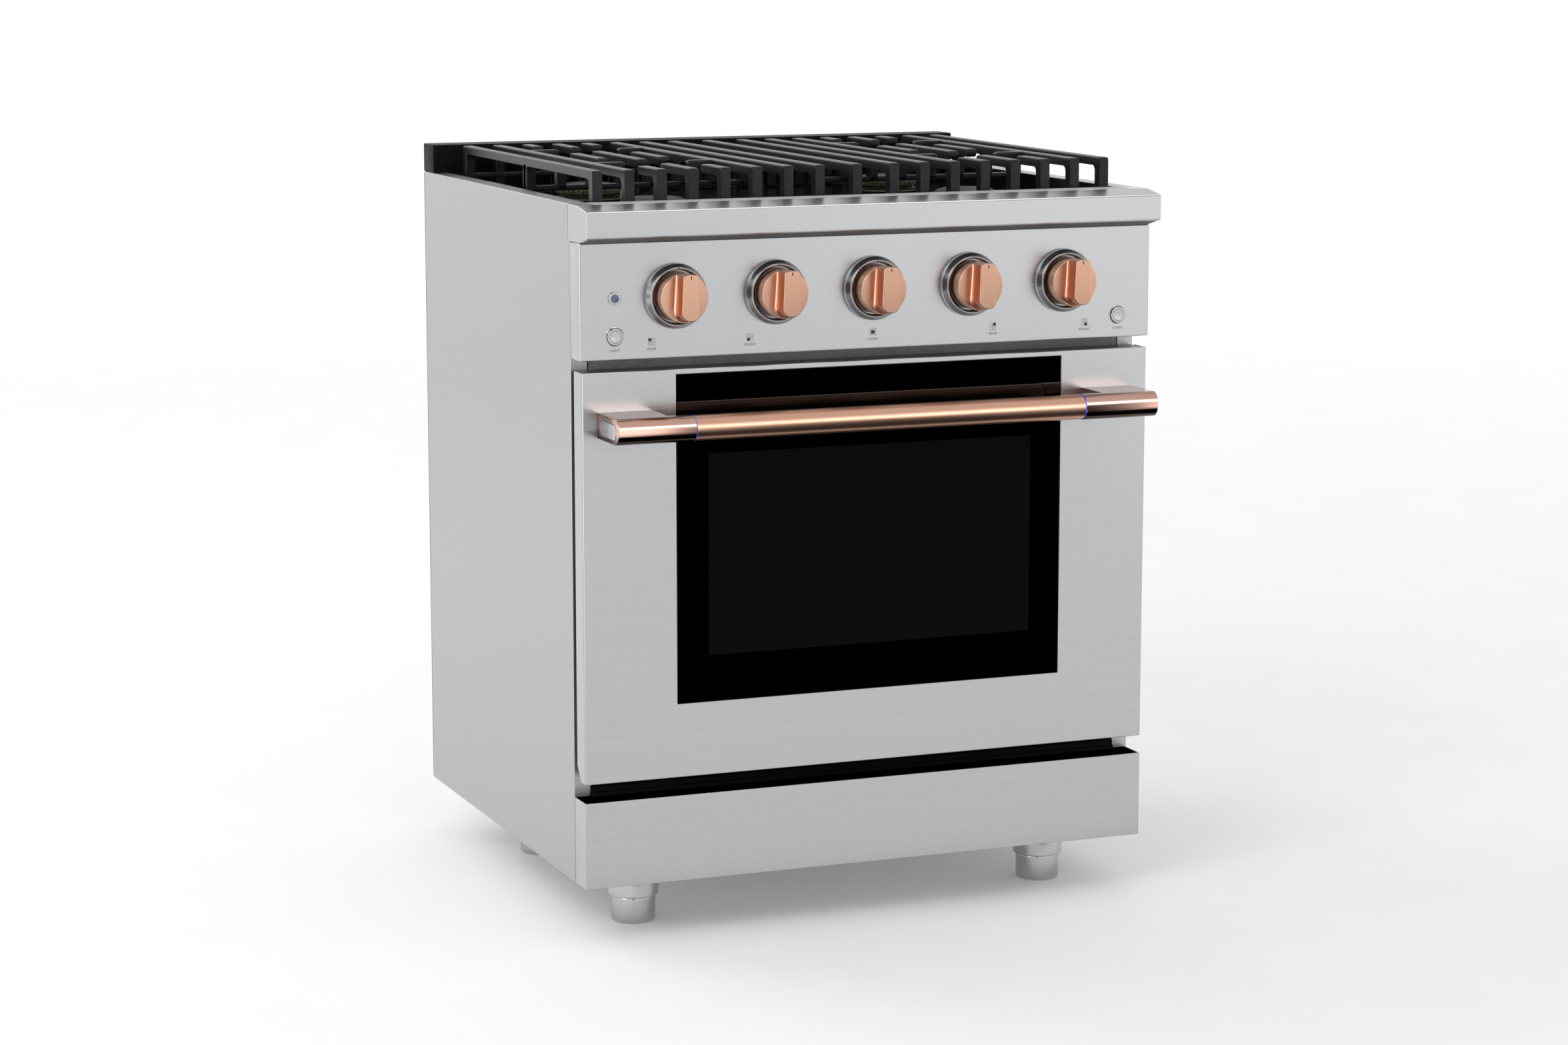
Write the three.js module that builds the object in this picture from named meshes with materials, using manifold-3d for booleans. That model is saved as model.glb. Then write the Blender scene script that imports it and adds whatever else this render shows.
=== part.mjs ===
// Freestanding gas range, 30 inch class: a steel cabinet on four legs, an oven with a
// drop-down door, five controls and a four-burner cooktop under cast-iron grates.
// Millimetres, +Z up. The front faces -Y, and the origin is on the floor under the
// middle of the range's overall box.
import * as THREE from 'three';
import { mergeVertices } from 'three/addons/utils/BufferGeometryUtils.js';
import Module from 'manifold-3d';

const wasm = await Module();
wasm.setup();

// ---------------------------------------------------------------- driving sizes
// Across: everything is symmetric about X = 0. Depths count back from the door's face.
const WIDTH = 759;
const BODY_DEPTH = 652.5;
const HANDLE_REACH = 73.5;
const SHEET = 2;
const GAP = 0.3;
const FLANGE = 22;
const SEAM = 41;

// Heights above the floor.
const BODY_BOTTOM = 71;
const KICK_TOP = 179;
const DOOR_BOTTOM = 202;
const DOOR_TOP = 708;
const PANEL_BOTTOM = 722;
const PANEL_TOP = 863.5;
const RAIL_BOTTOM = 871;
const RAIL_EDGE = 903;
const TOP = 908.5;
const GRATE_TOP = 946;

// Front rail: how far its nose stands out, and where its top starts to fall.
const RAIL_NOSE = 29.5;
const RAIL_SLOPE_START = 6;
const RAIL_WIDTH = 762;
const PAN_FRONT = 45.5;

// Cooktop.
const BURNER_X = 213;
const BURNER_FRONT = 195;
const BURNER_REAR = 455;
const PAN_HALF = 356.5;
const PAN_FLOOR = 880;
const PAN_REAR = 605;
const GRATE_FRONT = 49;
const GRATE_REAR = 581;
const BAR_WIDTH = 13;
const BAR_PITCH = 41.4;
const BAR_INNER = 50;
const BARS_PER_GRATE = 8;
const BAR_DEPTH = 11;
const LADDER_BOTTOM = 903.5;
const LADDER_RAIL = 7;
const LADDER_DEPTH = 12;
const LADDER_MIDDLE = 314;
const TRIM_FRONT = 606;
const TRIM_BOTTOM = TOP + GAP;

// Controls.
const KNOB_PITCH = 129.7;
const KNOB_Z = 797;
const BUTTON_X = 336.5;
const BUTTON_Z = 750.5;
const LAMP_Z = 796.5;
const STEM_RADIUS = 3;

// Door.
const DOOR_WIDTH = 756.5;
const DOOR_FLANGE = 31;
const DOOR_BACK = 38;
const GLASS_HALF = 258.3;
const GLASS_BOTTOM = 294.5;
const GLASS_TOP = 701.5;
const WINDOW_HALF = 217;
const WINDOW_BOTTOM = 352;
const WINDOW_TOP = 603;
const HINGE_Y = 22;
const HINGE_Z = 214;
const HINGE_X = 336.5;
const HANDLE_Z = 643.7;
const HANDLE_HEIGHT = 31.5;
const HANDLE_HALF = 358.5;
const GRIP_HALF = 258.5;
const BRACKET_INNER = 289;

// Oven.
const OVEN_HALF = 300;
const OVEN_FLOOR = 240;
const OVEN_TOP = 660;
const OVEN_BACK = 546;
const RACK_Z = 400;
const FAN_X = 0;
const FAN_Z = 450;

// Legs.
const LEG_X = 282;
const LEG_FRONT = 102;
const LEG_REAR = 472;
const SLEEVE_BOTTOM = 33;

// ---------------------------------------------------------------- finishes
function finish(color, roughness, metalness) {
  return new THREE.MeshStandardMaterial({ color, roughness, metalness });
}

const steel = finish(0xc6c8ca, 0.32, 1);
const copper = finish(0xd8a789, 0.3, 1);
const chrome = finish(0xdcdcde, 0.12, 1);
const castIron = finish(0x1c1c1d, 0.6, 0.2);
const blackEnamel = finish(0x121213, 0.25, 0.1);
const blackSheet = finish(0x1d1f21, 0.45, 0.4);
const glassBlack = finish(0x050506, 0.05, 0);
const brass = finish(0xb59a63, 0.4, 1);
const galvanised = finish(0xa9acae, 0.5, 1);
const lens = finish(0x8796ac, 0.15, 0);

// ---------------------------------------------------------------- solids
// A closed three.js geometry as a Manifold: corners put on a fine grid, so that faces meant to
// be flush are exactly flush, shared corners merged, slivers dropped and faces turned out.
const GRID = 1024;

function solid(geometry) {
  const bare = geometry.index ? geometry.toNonIndexed() : geometry.clone();
  bare.deleteAttribute('normal');
  bare.deleteAttribute('uv');
  const corner = bare.attributes.position;
  corner.array = corner.array.map((value) => Math.round(value * GRID) / GRID);
  const merged = mergeVertices(bare, 1e-4);
  const spots = merged.attributes.position.array;
  const corners = merged.index.array;
  const faces = [];
  let volume = 0;
  for (let i = 0; i < corners.length; i += 3) {
    const [a, b, c] = corners.slice(i, i + 3);
    if (a === b || b === c || c === a) continue;
    faces.push(a, b, c);
    const [p, q, r] = [a, b, c].map((k) => new THREE.Vector3().fromArray(spots, 3 * k));
    volume += p.dot(q.cross(r));
  }
  if (volume < 0) faces.reverse();
  const mesh = new wasm.Mesh({
    numProp: 3,
    vertProperties: Float32Array.from(spots),
    triVerts: Uint32Array.from(faces),
  });
  return new wasm.Manifold(mesh);
}

function box(x0, x1, y0, y1, z0, z1) {
  const block = new THREE.BoxGeometry(x1 - x0, y1 - y0, z1 - z0);
  block.translate((x0 + x1) / 2, (y0 + y1) / 2, (z0 + z1) / 2);
  return solid(block);
}

// A box given by its half width about X = 0.
function slab(half, y0, y1, z0, z1) {
  return box(-half, half, y0, y1, z0, z1);
}

function join(...solids) {
  return solids.reduce((all, one) => all.add(one));
}

// An outline in (Y, Z), extruded along X.
function alongX(outline, x0, x1) {
  const options = { depth: x1 - x0, bevelEnabled: false, curveSegments: 4 };
  const geometry = new THREE.ExtrudeGeometry(outline, options);
  const axes = [new THREE.Vector3(0, 1, 0), new THREE.Vector3(0, 0, 1), new THREE.Vector3(1, 0, 0)];
  geometry.applyMatrix4(new THREE.Matrix4().makeBasis(...axes));
  geometry.translate(x0, 0, 0);
  return solid(geometry);
}

// An outline in (X, Z), extruded back from y0 to y1.
function alongY(outline, y0, y1) {
  const options = { depth: y1 - y0, bevelEnabled: false, curveSegments: 5 };
  const geometry = new THREE.ExtrudeGeometry(outline, options);
  const axes = [new THREE.Vector3(1, 0, 0), new THREE.Vector3(0, 0, 1), new THREE.Vector3(0, -1, 0)];
  geometry.applyMatrix4(new THREE.Matrix4().makeBasis(...axes));
  geometry.translate(0, y1, 0);
  return solid(geometry);
}

// A turned solid from [radius, height] points, with its axis up +Z.
function turned(profile, segments = 24) {
  const points = profile.map(([radius, height]) => new THREE.Vector2(radius, height));
  const geometry = new THREE.LatheGeometry(points, segments);
  geometry.rotateX(Math.PI / 2);
  return solid(geometry);
}

// The same, with its axis pointing forward, so that a height is a distance out of the front.
function turnedForward(profile, segments = 24) {
  const points = profile.map(([radius, height]) => new THREE.Vector2(radius, height));
  const geometry = new THREE.LatheGeometry(points, segments);
  geometry.rotateX(Math.PI);
  return solid(geometry);
}

function rodForward(radius, from, to, segments = 12) {
  return turnedForward([[0, from], [radius, from], [radius, to], [0, to]], segments);
}

// A rectangle with rounded corners, about its own centre.
function roundedRectangle(width, height, radius) {
  const [w, h, r] = [width / 2, height / 2, radius];
  const outline = new THREE.Shape();
  outline.absarc(w - r, h - r, r, 0, Math.PI / 2);
  outline.absarc(r - w, h - r, r, Math.PI / 2, Math.PI);
  outline.absarc(r - w, r - h, r, Math.PI, 1.5 * Math.PI);
  outline.absarc(w - r, r - h, r, 1.5 * Math.PI, 2 * Math.PI);
  return outline;
}

function polygon(points) {
  return new THREE.Shape(points.map(([u, v]) => new THREE.Vector2(u, v)));
}

const range = new THREE.Group();
range.position.y = -(BODY_DEPTH - HANDLE_REACH) / 2;

// Adds one named piece to the range. Flat faces that the cuts and joins have split are made
// whole again first.
const FLATNESS = 0.002;

function place(name, shape, material, x = 0, y = 0, z = 0) {
  const { vertProperties, triVerts } = shape.asOriginal().simplify(FLATNESS).getMesh();
  const geometry = new THREE.BufferGeometry();
  geometry.setAttribute('position', new THREE.BufferAttribute(vertProperties, 3));
  geometry.setIndex(new THREE.BufferAttribute(triVerts, 1));
  geometry.computeVertexNormals();
  const piece = new THREE.Mesh(geometry, material);
  piece.name = name;
  piece.position.set(x, y, z);
  range.add(piece);
}

// ---------------------------------------------------------------- cabinet
// A side panel: one sheet with a flange folded in along each of its four edges.
function sidePanel(side) {
  const outer = side * WIDTH / 2;
  const skin = outer - side * SHEET;
  const inner = outer - side * FLANGE;
  const [a, b] = [Math.min(outer, skin), Math.max(outer, skin)];
  const [c, d] = [Math.min(outer, inner), Math.max(outer, inner)];
  const back = BODY_DEPTH - SHEET;
  return join(
    box(a, b, SEAM, back, BODY_BOTTOM, TOP),
    box(c, d, SEAM, back, TOP - SHEET, TOP),
    box(c, d, SEAM, back, BODY_BOTTOM, BODY_BOTTOM + SHEET),
    box(c, d, SEAM, SEAM + SHEET, BODY_BOTTOM, TOP),
    box(c, d, back - SHEET, back, BODY_BOTTOM, TOP),
  );
}

// The back: a flat sheet with a hole for the gas connection.
const GAS_X = 290;
const GAS_Z = 130;
const GAS_HOLE = 16;

function backPanel() {
  const sheet = slab(WIDTH / 2, BODY_DEPTH - SHEET + GAP, BODY_DEPTH, BODY_BOTTOM, TOP);
  const hole = rodForward(GAS_HOLE, -BODY_DEPTH - 1, 1 - BODY_DEPTH + SHEET).translate([GAS_X, 0, GAS_Z]);
  return sheet.subtract(hole);
}

// A ring turned about the forward axis, between two radii and two distances out of the front.
function tubeForward(bore, radius, from, to, segments) {
  const section = [[bore, from], [radius, from], [radius, to], [bore, to], [bore, from]];
  return turnedForward(section, segments);
}

// The gas connection: a pipe with a hexagonal collar inside the back.
const PIPE_RADIUS = 10.5;
const PIPE_BORE = 7;
const PIPE_FRONT = -600;
const PIPE_BACK = -651;
const COLLAR_RADIUS = 15;
const COLLAR_FRONT = -626;
const COLLAR_BACK = -640;

function gasInlet() {
  const pipe = tubeForward(PIPE_BORE, PIPE_RADIUS, PIPE_BACK, PIPE_FRONT, 12);
  const collar = tubeForward(PIPE_BORE + 1, COLLAR_RADIUS, COLLAR_BACK, COLLAR_FRONT, 6);
  return join(pipe, collar);
}

// How far the base pan stands back from the front frame and forward of the back.
const PAN_MARGIN = 5;

function basePan() {
  const [front, back] = [SEAM + PAN_MARGIN, BODY_DEPTH - PAN_MARGIN];
  const bottom = BODY_BOTTOM + SHEET + GAP;
  return slab(WIDTH / 2 - SHEET - GAP, front, back, bottom, BODY_BOTTOM + 2 * SHEET);
}

// The black frame behind the door, with the oven's mouth cut out of it and a step along its
// foot, behind the gap between the kick panel and the door.
const FRAME_BOTTOM = 76;
const STEP_REACH = 7;
const STEP_TOP = 191;

function frontFrame() {
  const front = SEAM + SHEET + GAP;
  const plateHalf = WIDTH / 2 - SHEET - GAP;
  const plate = slab(plateHalf, front, front + SHEET, FRAME_BOTTOM, PANEL_BOTTOM - 1);
  const step = slab(WIDTH / 2 - FLANGE - GAP, SEAM - STEP_REACH, front, FRAME_BOTTOM, STEP_TOP);
  const mouth = slab(OVEN_HALF, front - 1, front + SHEET + 1, OVEN_FLOOR, OVEN_TOP);
  return join(plate, step).subtract(mouth);
}

// The kick panel: folded sheet, open along its top and back.
function kickPanel() {
  const half = WIDTH / 2 - 1;
  const back = SEAM - GAP;
  const outside = slab(half, 0, back, BODY_BOTTOM, KICK_TOP);
  const inside = slab(half - SHEET, SHEET, back + 1, BODY_BOTTOM + SHEET, KICK_TOP + 1);
  return outside.subtract(inside);
}

// The front rail: folded sheet with a sloping top, a flat nose and a tucked-under lip,
// closed at both ends.
function topRail() {
  const back = SEAM - GAP;
  const outside = [
    [back, TOP], [RAIL_SLOPE_START, TOP], [-RAIL_NOSE, RAIL_EDGE], [-RAIL_NOSE, RAIL_BOTTOM],
    [0, PANEL_TOP + GAP], [back, PANEL_TOP + GAP],
  ];
  const inside = [
    [back + 1, TOP - SHEET], [RAIL_SLOPE_START, TOP - SHEET], [SHEET - RAIL_NOSE, RAIL_EDGE - 1.7],
    [SHEET - RAIL_NOSE, RAIL_BOTTOM + 1.6], [0, PANEL_TOP + SHEET], [back + 1, PANEL_TOP + SHEET],
  ];
  const half = RAIL_WIDTH / 2;
  const block = alongX(polygon(outside), -half, half);
  const shell = block.subtract(alongX(polygon(inside), SHEET - half, half - SHEET));
  const ledge = slab(WIDTH / 2 - FLANGE - GAP, back - 1, PAN_FRONT, TOP - SHEET, TOP);
  return join(shell, ledge);
}

// The control panel: folded sheet with holes for the stems, the two buttons and the lamp.
const PANEL_WIDTH = 761;
const STEM_HOLE = 6;
const BUTTON_HOLE = 11;
const LAMP_HOLE = 5;

function controlPanel() {
  const back = SEAM - GAP;
  const half = PANEL_WIDTH / 2;
  const outside = slab(half, 0, back, PANEL_BOTTOM, PANEL_TOP);
  const inside = slab(half - SHEET, SHEET, back + 1, PANEL_BOTTOM + SHEET, PANEL_TOP + 1);
  const drill = (radius, x, z) => rodForward(radius, -SHEET - 1, 1).translate([x, 0, z]);
  let panel = outside.subtract(inside);
  for (let i = 0; i < 5; i += 1) {
    panel = panel.subtract(drill(STEM_HOLE, knobX(i), KNOB_Z));
  }
  for (const side of [-1, 1]) {
    panel = panel.subtract(drill(BUTTON_HOLE, side * BUTTON_X, BUTTON_Z));
  }
  return panel.subtract(drill(LAMP_HOLE, -BUTTON_X, LAMP_Z));
}

function knobX(index) {
  return (index - 2) * KNOB_PITCH;
}

place('left_side_panel', sidePanel(-1), steel);
place('right_side_panel', sidePanel(1), steel);
place('back_panel', backPanel(), galvanised);
place('gas_inlet', gasInlet(), galvanised, GAS_X, 0, GAS_Z);
place('base_pan', basePan(), galvanised);
place('front_frame', frontFrame(), blackSheet);
place('kick_panel', kickPanel(), steel);
place('top_rail', topRail(), steel);
place('control_panel', controlPanel(), steel);

// ---------------------------------------------------------------- legs
// Each leg is a turned sleeve fixed under the cabinet, and a foot that screws in and out of it.
const SLEEVE_RADIUS = 32.3;
const SLEEVE_BORE = 13;
const FOOT_RADIUS = 28.3;
const THREAD_RADIUS = 10;
const THREAD_TOP = 68;
const ROLL = 2.4;

function legSleeve() {
  const top = BODY_BOTTOM + SHEET;
  return turned([
    [SLEEVE_BORE, SLEEVE_BOTTOM], [SLEEVE_RADIUS - ROLL, SLEEVE_BOTTOM],
    [SLEEVE_RADIUS, SLEEVE_BOTTOM + ROLL], [SLEEVE_RADIUS, top], [SLEEVE_BORE, top],
    [SLEEVE_BORE, SLEEVE_BOTTOM],
  ], 16);
}

function legFoot() {
  const shoulder = SLEEVE_BOTTOM - GAP;
  return turned([
    [0, 0], [FOOT_RADIUS - ROLL, 0], [FOOT_RADIUS, ROLL], [FOOT_RADIUS, shoulder],
    [THREAD_RADIUS, shoulder], [THREAD_RADIUS, THREAD_TOP], [0, THREAD_TOP],
  ], 16);
}

for (const [row, y] of [['front', LEG_FRONT], ['rear', LEG_REAR]]) {
  for (const [hand, side] of [['left', -1], ['right', 1]]) {
    place(`leg_sleeve_${row}_${hand}`, legSleeve(), chrome, side * LEG_X, y, 0);
    place(`leg_foot_${row}_${hand}`, legFoot(), chrome, side * LEG_X, y, 0);
  }
}

// ---------------------------------------------------------------- oven
// The cavity: an open-fronted enamelled box with pressed rack guides on both side walls and a
// hole for the fan's shaft.
const GUIDE_REACH = 8;
const GUIDE_PITCH = 70;
const GUIDES = 5;
const GUIDE_FRONT = 70;
const GUIDE_REAR = 500;
const GUIDE_HEIGHT = 5;
const RACK_GUIDE = 2;
const RACK_HALF_HEIGHT = 2.5;
const SHAFT_HOLE = 7;

function guideTop(level) {
  return RACK_Z - RACK_HALF_HEIGHT - GAP + (level - RACK_GUIDE) * GUIDE_PITCH;
}

function ovenCavity() {
  const front = SEAM + 2 * SHEET + 2 * GAP;
  const outside = slab(OVEN_HALF + SHEET, front, OVEN_BACK + SHEET, OVEN_FLOOR - SHEET, OVEN_TOP + SHEET);
  const inside = slab(OVEN_HALF, front - 1, OVEN_BACK, OVEN_FLOOR, OVEN_TOP);
  let cavity = outside.subtract(inside);
  for (let level = 0; level < GUIDES; level += 1) {
    const top = guideTop(level);
    for (const side of [-1, 1]) {
      const walls = [side * OVEN_HALF, side * (OVEN_HALF - GUIDE_REACH)];
      const [a, b] = [Math.min(...walls), Math.max(...walls)];
      cavity = cavity.add(box(a, b, GUIDE_FRONT, GUIDE_REAR, top - GUIDE_HEIGHT, top));
    }
  }
  const hole = rodForward(SHAFT_HOLE, -OVEN_BACK - SHEET - 1, 1 - OVEN_BACK).translate([FAN_X, 0, FAN_Z]);
  return cavity.subtract(hole);
}

// The rack: an outer wire frame, a brace across its middle and thin bars from front to back.
const RACK_WIRE = 3;
const RACK_FRONT = 82;
const RACK_REAR = 494;
const RACK_BARS = 15;
const RACK_BAR_PITCH = 37;
const RACK_BAR_HALF = 2;
const BRACE_Y = 288;

function ovenRack() {
  const side = OVEN_HALF - GUIDE_REACH + RACK_WIRE;
  const [low, high] = [RACK_Z - RACK_HALF_HEIGHT, RACK_Z + RACK_HALF_HEIGHT];
  const across = (y) => slab(side + RACK_WIRE, y - RACK_WIRE, y + RACK_WIRE, low, high);
  const along = (x, half, z0, z1) => box(x - half, x + half, RACK_FRONT, RACK_REAR, z0, z1);
  const brace = slab(
    OVEN_HALF - GUIDE_REACH - 2, BRACE_Y - RACK_WIRE, BRACE_Y + RACK_WIRE, RACK_Z - 4, RACK_Z - 1,
  );
  let rack = join(across(RACK_FRONT), across(RACK_REAR), brace);
  for (const edge of [-side, side]) {
    rack = rack.add(along(edge, RACK_WIRE, low, high));
  }
  for (let i = 0; i < RACK_BARS; i += 1) {
    const x = (i - (RACK_BARS - 1) / 2) * RACK_BAR_PITCH;
    rack = rack.add(along(x, RACK_BAR_HALF, RACK_Z - RACK_BAR_HALF, RACK_Z + RACK_BAR_HALF));
  }
  return rack;
}

// The fan: a disc with straight blades and a shaft that runs back through the cavity's wall.
const FAN_RADIUS = 68;
const FAN_BLADES = 8;
const FAN_FRONT = 528;
const FAN_BACK = 542;
const HUB_RADIUS = 24;
const HUB_THICK = 3;
const SHAFT_RADIUS = 5;
const SHAFT_BACK = 565;

function fan() {
  const disc = rodForward(HUB_RADIUS, -FAN_BACK, HUB_THICK - FAN_BACK, 16);
  const shaft = rodForward(SHAFT_RADIUS, -SHAFT_BACK, -FAN_FRONT, 8);
  let rotor = join(disc, shaft);
  for (let i = 0; i < FAN_BLADES; i += 1) {
    const blade = box(SHAFT_RADIUS - 1, FAN_RADIUS, FAN_FRONT, FAN_BACK, -1, 1);
    rotor = rotor.add(blade.rotate([0, 360 * i / FAN_BLADES, 0]));
  }
  return rotor;
}

// The fan cover: a shallow dish with a round grille of slots in its front.
const COVER_SIZE = 200;
const COVER_CORNER = 25;
const COVER_FRONT = 518;
const GRILLE_RADIUS = 70;
const GRILLE_PITCH = 14;
const GRILLE_SLOT = 7;

function fanCover() {
  const outside = roundedRectangle(COVER_SIZE, COVER_SIZE, COVER_CORNER);
  const inner = COVER_SIZE - 2 * SHEET;
  const inside = roundedRectangle(inner, inner, COVER_CORNER - SHEET);
  const back = OVEN_BACK - GAP;
  let cover = alongY(outside, COVER_FRONT, back).subtract(alongY(inside, COVER_FRONT + SHEET, back + 1));
  for (let i = -4; i <= 4; i += 1) {
    const z = i * GRILLE_PITCH;
    const reach = Math.sqrt(GRILLE_RADIUS ** 2 - z ** 2);
    const [low, high] = [z - GRILLE_SLOT / 2, z + GRILLE_SLOT / 2];
    cover = cover.subtract(slab(reach, COVER_FRONT - 1, COVER_FRONT + SHEET + 1, low, high));
  }
  return cover;
}

place('oven_cavity', ovenCavity(), blackEnamel);
place('oven_rack', ovenRack(), chrome);
place('convection_fan', fan(), galvanised, FAN_X, 0, FAN_Z);
place('fan_cover', fanCover(), blackEnamel, FAN_X, 0, FAN_Z);

// ---------------------------------------------------------------- cooktop
const BURNERS = [
  ['front_left', -BURNER_X, BURNER_FRONT],
  ['front_right', BURNER_X, BURNER_FRONT],
  ['rear_left', -BURNER_X, BURNER_REAR],
  ['rear_right', BURNER_X, BURNER_REAR],
];

function cooktopPan() {
  const front = PAN_FRONT + GAP;
  const outside = slab(PAN_HALF, front, PAN_REAR, PAN_FLOOR - SHEET, TOP);
  const inside = slab(PAN_HALF - SHEET, front + SHEET, PAN_REAR - SHEET, PAN_FLOOR, TOP + 1);
  return outside.subtract(inside);
}

// A burner head: a wide foot, a neck and a crown of flame ports, notched all round.
const PORTS = 12;
const PORT_HALF = 1.5;
const PORT_BOTTOM = 10;
const HEAD_FOOT = 50;
const HEAD_NECK = 38;
const CROWN_RADIUS = 43;
const CROWN_BOTTOM = 9;
const CROWN_TOP = 15;
const CAP_RADIUS = 39;
const CAP_TOP = 22.5;

function burnerHead() {
  let head = turned([
    [0, GAP], [HEAD_FOOT, GAP], [HEAD_FOOT, 3], [HEAD_NECK, 6], [CROWN_RADIUS, CROWN_BOTTOM],
    [CROWN_RADIUS, CROWN_TOP], [0, CROWN_TOP],
  ]);
  const port = box(CROWN_RADIUS - 3, CROWN_RADIUS + 3, -PORT_HALF, PORT_HALF, PORT_BOTTOM, CROWN_TOP + 1);
  for (let i = 0; i < PORTS; i += 1) {
    head = head.subtract(port.rotate([0, 0, 360 * (i + 0.5) / PORTS]));
  }
  return head;
}

function burnerCap() {
  const bottom = CROWN_TOP + GAP;
  return turned([[0, bottom], [CAP_RADIUS, bottom], [CAP_RADIUS, 18.5], [CAP_RADIUS - 4, 21], [0, CAP_TOP]]);
}

for (const [corner, x, y] of BURNERS) {
  place(`burner_head_${corner}`, burnerHead(), brass, x, y, PAN_FLOOR);
  place(`burner_cap_${corner}`, burnerCap(), castIron, x, y, PAN_FLOOR);
}

// One bar of a grate: a rail that ends in a post at each end, from the pan's floor up.
const POST = 15;

function grateBar(x, from, to, frontPost, rearPost) {
  const half = BAR_WIDTH / 2;
  const foot = PAN_FLOOR + GAP;
  const railBottom = GRATE_TOP - BAR_DEPTH;
  const pieces = [box(x - half, x + half, from, to, railBottom, GRATE_TOP)];
  if (frontPost) pieces.push(box(x - half, x + half, from, from + POST, foot, GRATE_TOP));
  if (rearPost) pieces.push(box(x - half, x + half, to - POST, to, foot, GRATE_TOP));
  return join(...pieces);
}

// A ladder across a grate: a low rail with a web up to the bar above it at each bar, a little
// wider than the bar.
const WEB_MARGIN = 1.5;

function ladder(centres, y) {
  const half = BAR_WIDTH / 2 + WEB_MARGIN;
  const [front, back] = [y - LADDER_DEPTH / 2, y + LADDER_DEPTH / 2];
  const reach = BAR_WIDTH / 2;
  const ends = [Math.min(...centres) - reach, Math.max(...centres) + reach];
  let frame = box(...ends, front, back, LADDER_BOTTOM, LADDER_BOTTOM + LADDER_RAIL);
  for (const x of centres) {
    frame = frame.add(box(x - half, x + half, front, back, LADDER_BOTTOM, GRATE_TOP - BAR_DEPTH + 1));
  }
  return frame;
}

// A grate: eight bars, of which the middle three stop short of both burners, two short
// fingers pointing at each burner from the bars beside it, two ladders, and a low rail that
// ties the front posts together.
const NEAR = 41;
const FAR = 74;
const FRONT_RAIL_TOP = 902;
const FRONT_RAIL_HEIGHT = 10;
const REST_MARGIN = 4;
const FINGER_HALF = 6;
const MIDDLE_FOOT_HALF = 8;

function grate(side) {
  const centres = Array.from({ length: BARS_PER_GRATE }, (_, i) => side * (BAR_INNER + i * BAR_PITCH));
  const rest = GRATE_REAR - REST_MARGIN;
  const ladderRear = rest - LADDER_DEPTH / 2;
  const frontRail = box(
    Math.min(...centres), Math.max(...centres), GRATE_FRONT + 3, GRATE_FRONT + POST - 3,
    FRONT_RAIL_TOP - FRONT_RAIL_HEIGHT, FRONT_RAIL_TOP,
  );
  let whole = join(ladder(centres, LADDER_MIDDLE), ladder(centres, ladderRear), frontRail);
  centres.forEach((x, i) => {
    const short = { 3: FAR, 4: NEAR, 5: FAR }[i];
    const cuts = short ? [[BURNER_FRONT, short], [BURNER_REAR, short]] : [];
    let from = GRATE_FRONT;
    for (const [centre, clear] of cuts) {
      whole = whole.add(grateBar(x, from, centre - clear, from === GRATE_FRONT, false));
      from = centre + clear;
    }
    whole = whole.add(grateBar(x, from, GRATE_REAR, from === GRATE_FRONT, from === GRATE_FRONT));
    if (short) whole = whole.add(grateBar(x, rest - POST, GRATE_REAR, false, true));
  });
  for (const y of [BURNER_FRONT, BURNER_REAR]) {
    for (const i of [2, 6]) {
      const start = centres[i];
      const end = side * BURNER_X + Math.sign(start - side * BURNER_X) * NEAR;
      const [a, b] = [Math.min(start, end), Math.max(start, end)];
      whole = whole.add(box(a, b, y - FINGER_HALF, y + FINGER_HALF, GRATE_TOP - BAR_DEPTH, GRATE_TOP));
    }
  }
  const outer = centres[BARS_PER_GRATE - 1];
  const half = BAR_WIDTH / 2;
  const [footFront, footBack] = [LADDER_MIDDLE - MIDDLE_FOOT_HALF, LADDER_MIDDLE + MIDDLE_FOOT_HALF];
  return whole.add(box(outer - half, outer + half, footFront, footBack, PAN_FLOOR + GAP, GRATE_TOP));
}

// The centre grate is a single bar with a post at each end and a cross foot on each post.
const CROSS_FOOT_HALF = 18;
const CROSS_FOOT_DEPTH = 14;
const CROSS_FOOT_TOP = 8;

function centreGrate() {
  const bar = grateBar(0, GRATE_FRONT, GRATE_REAR, true, true);
  const foot = (front) => slab(
    CROSS_FOOT_HALF, front, front + CROSS_FOOT_DEPTH, PAN_FLOOR + GAP, PAN_FLOOR + CROSS_FOOT_TOP,
  );
  return join(bar, foot(GRATE_FRONT + 1), foot(GRATE_REAR - 1 - CROSS_FOOT_DEPTH));
}

// The rear trim: a black box, open below, with a row of slots in its top.
const TRIM_SLOTS = 18;
const TRIM_PITCH = BAR_PITCH;
const TRIM_WALL = 1.5;
const TRIM_SLOT_HALF = 13;
const TRIM_MARGIN = 10;

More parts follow.
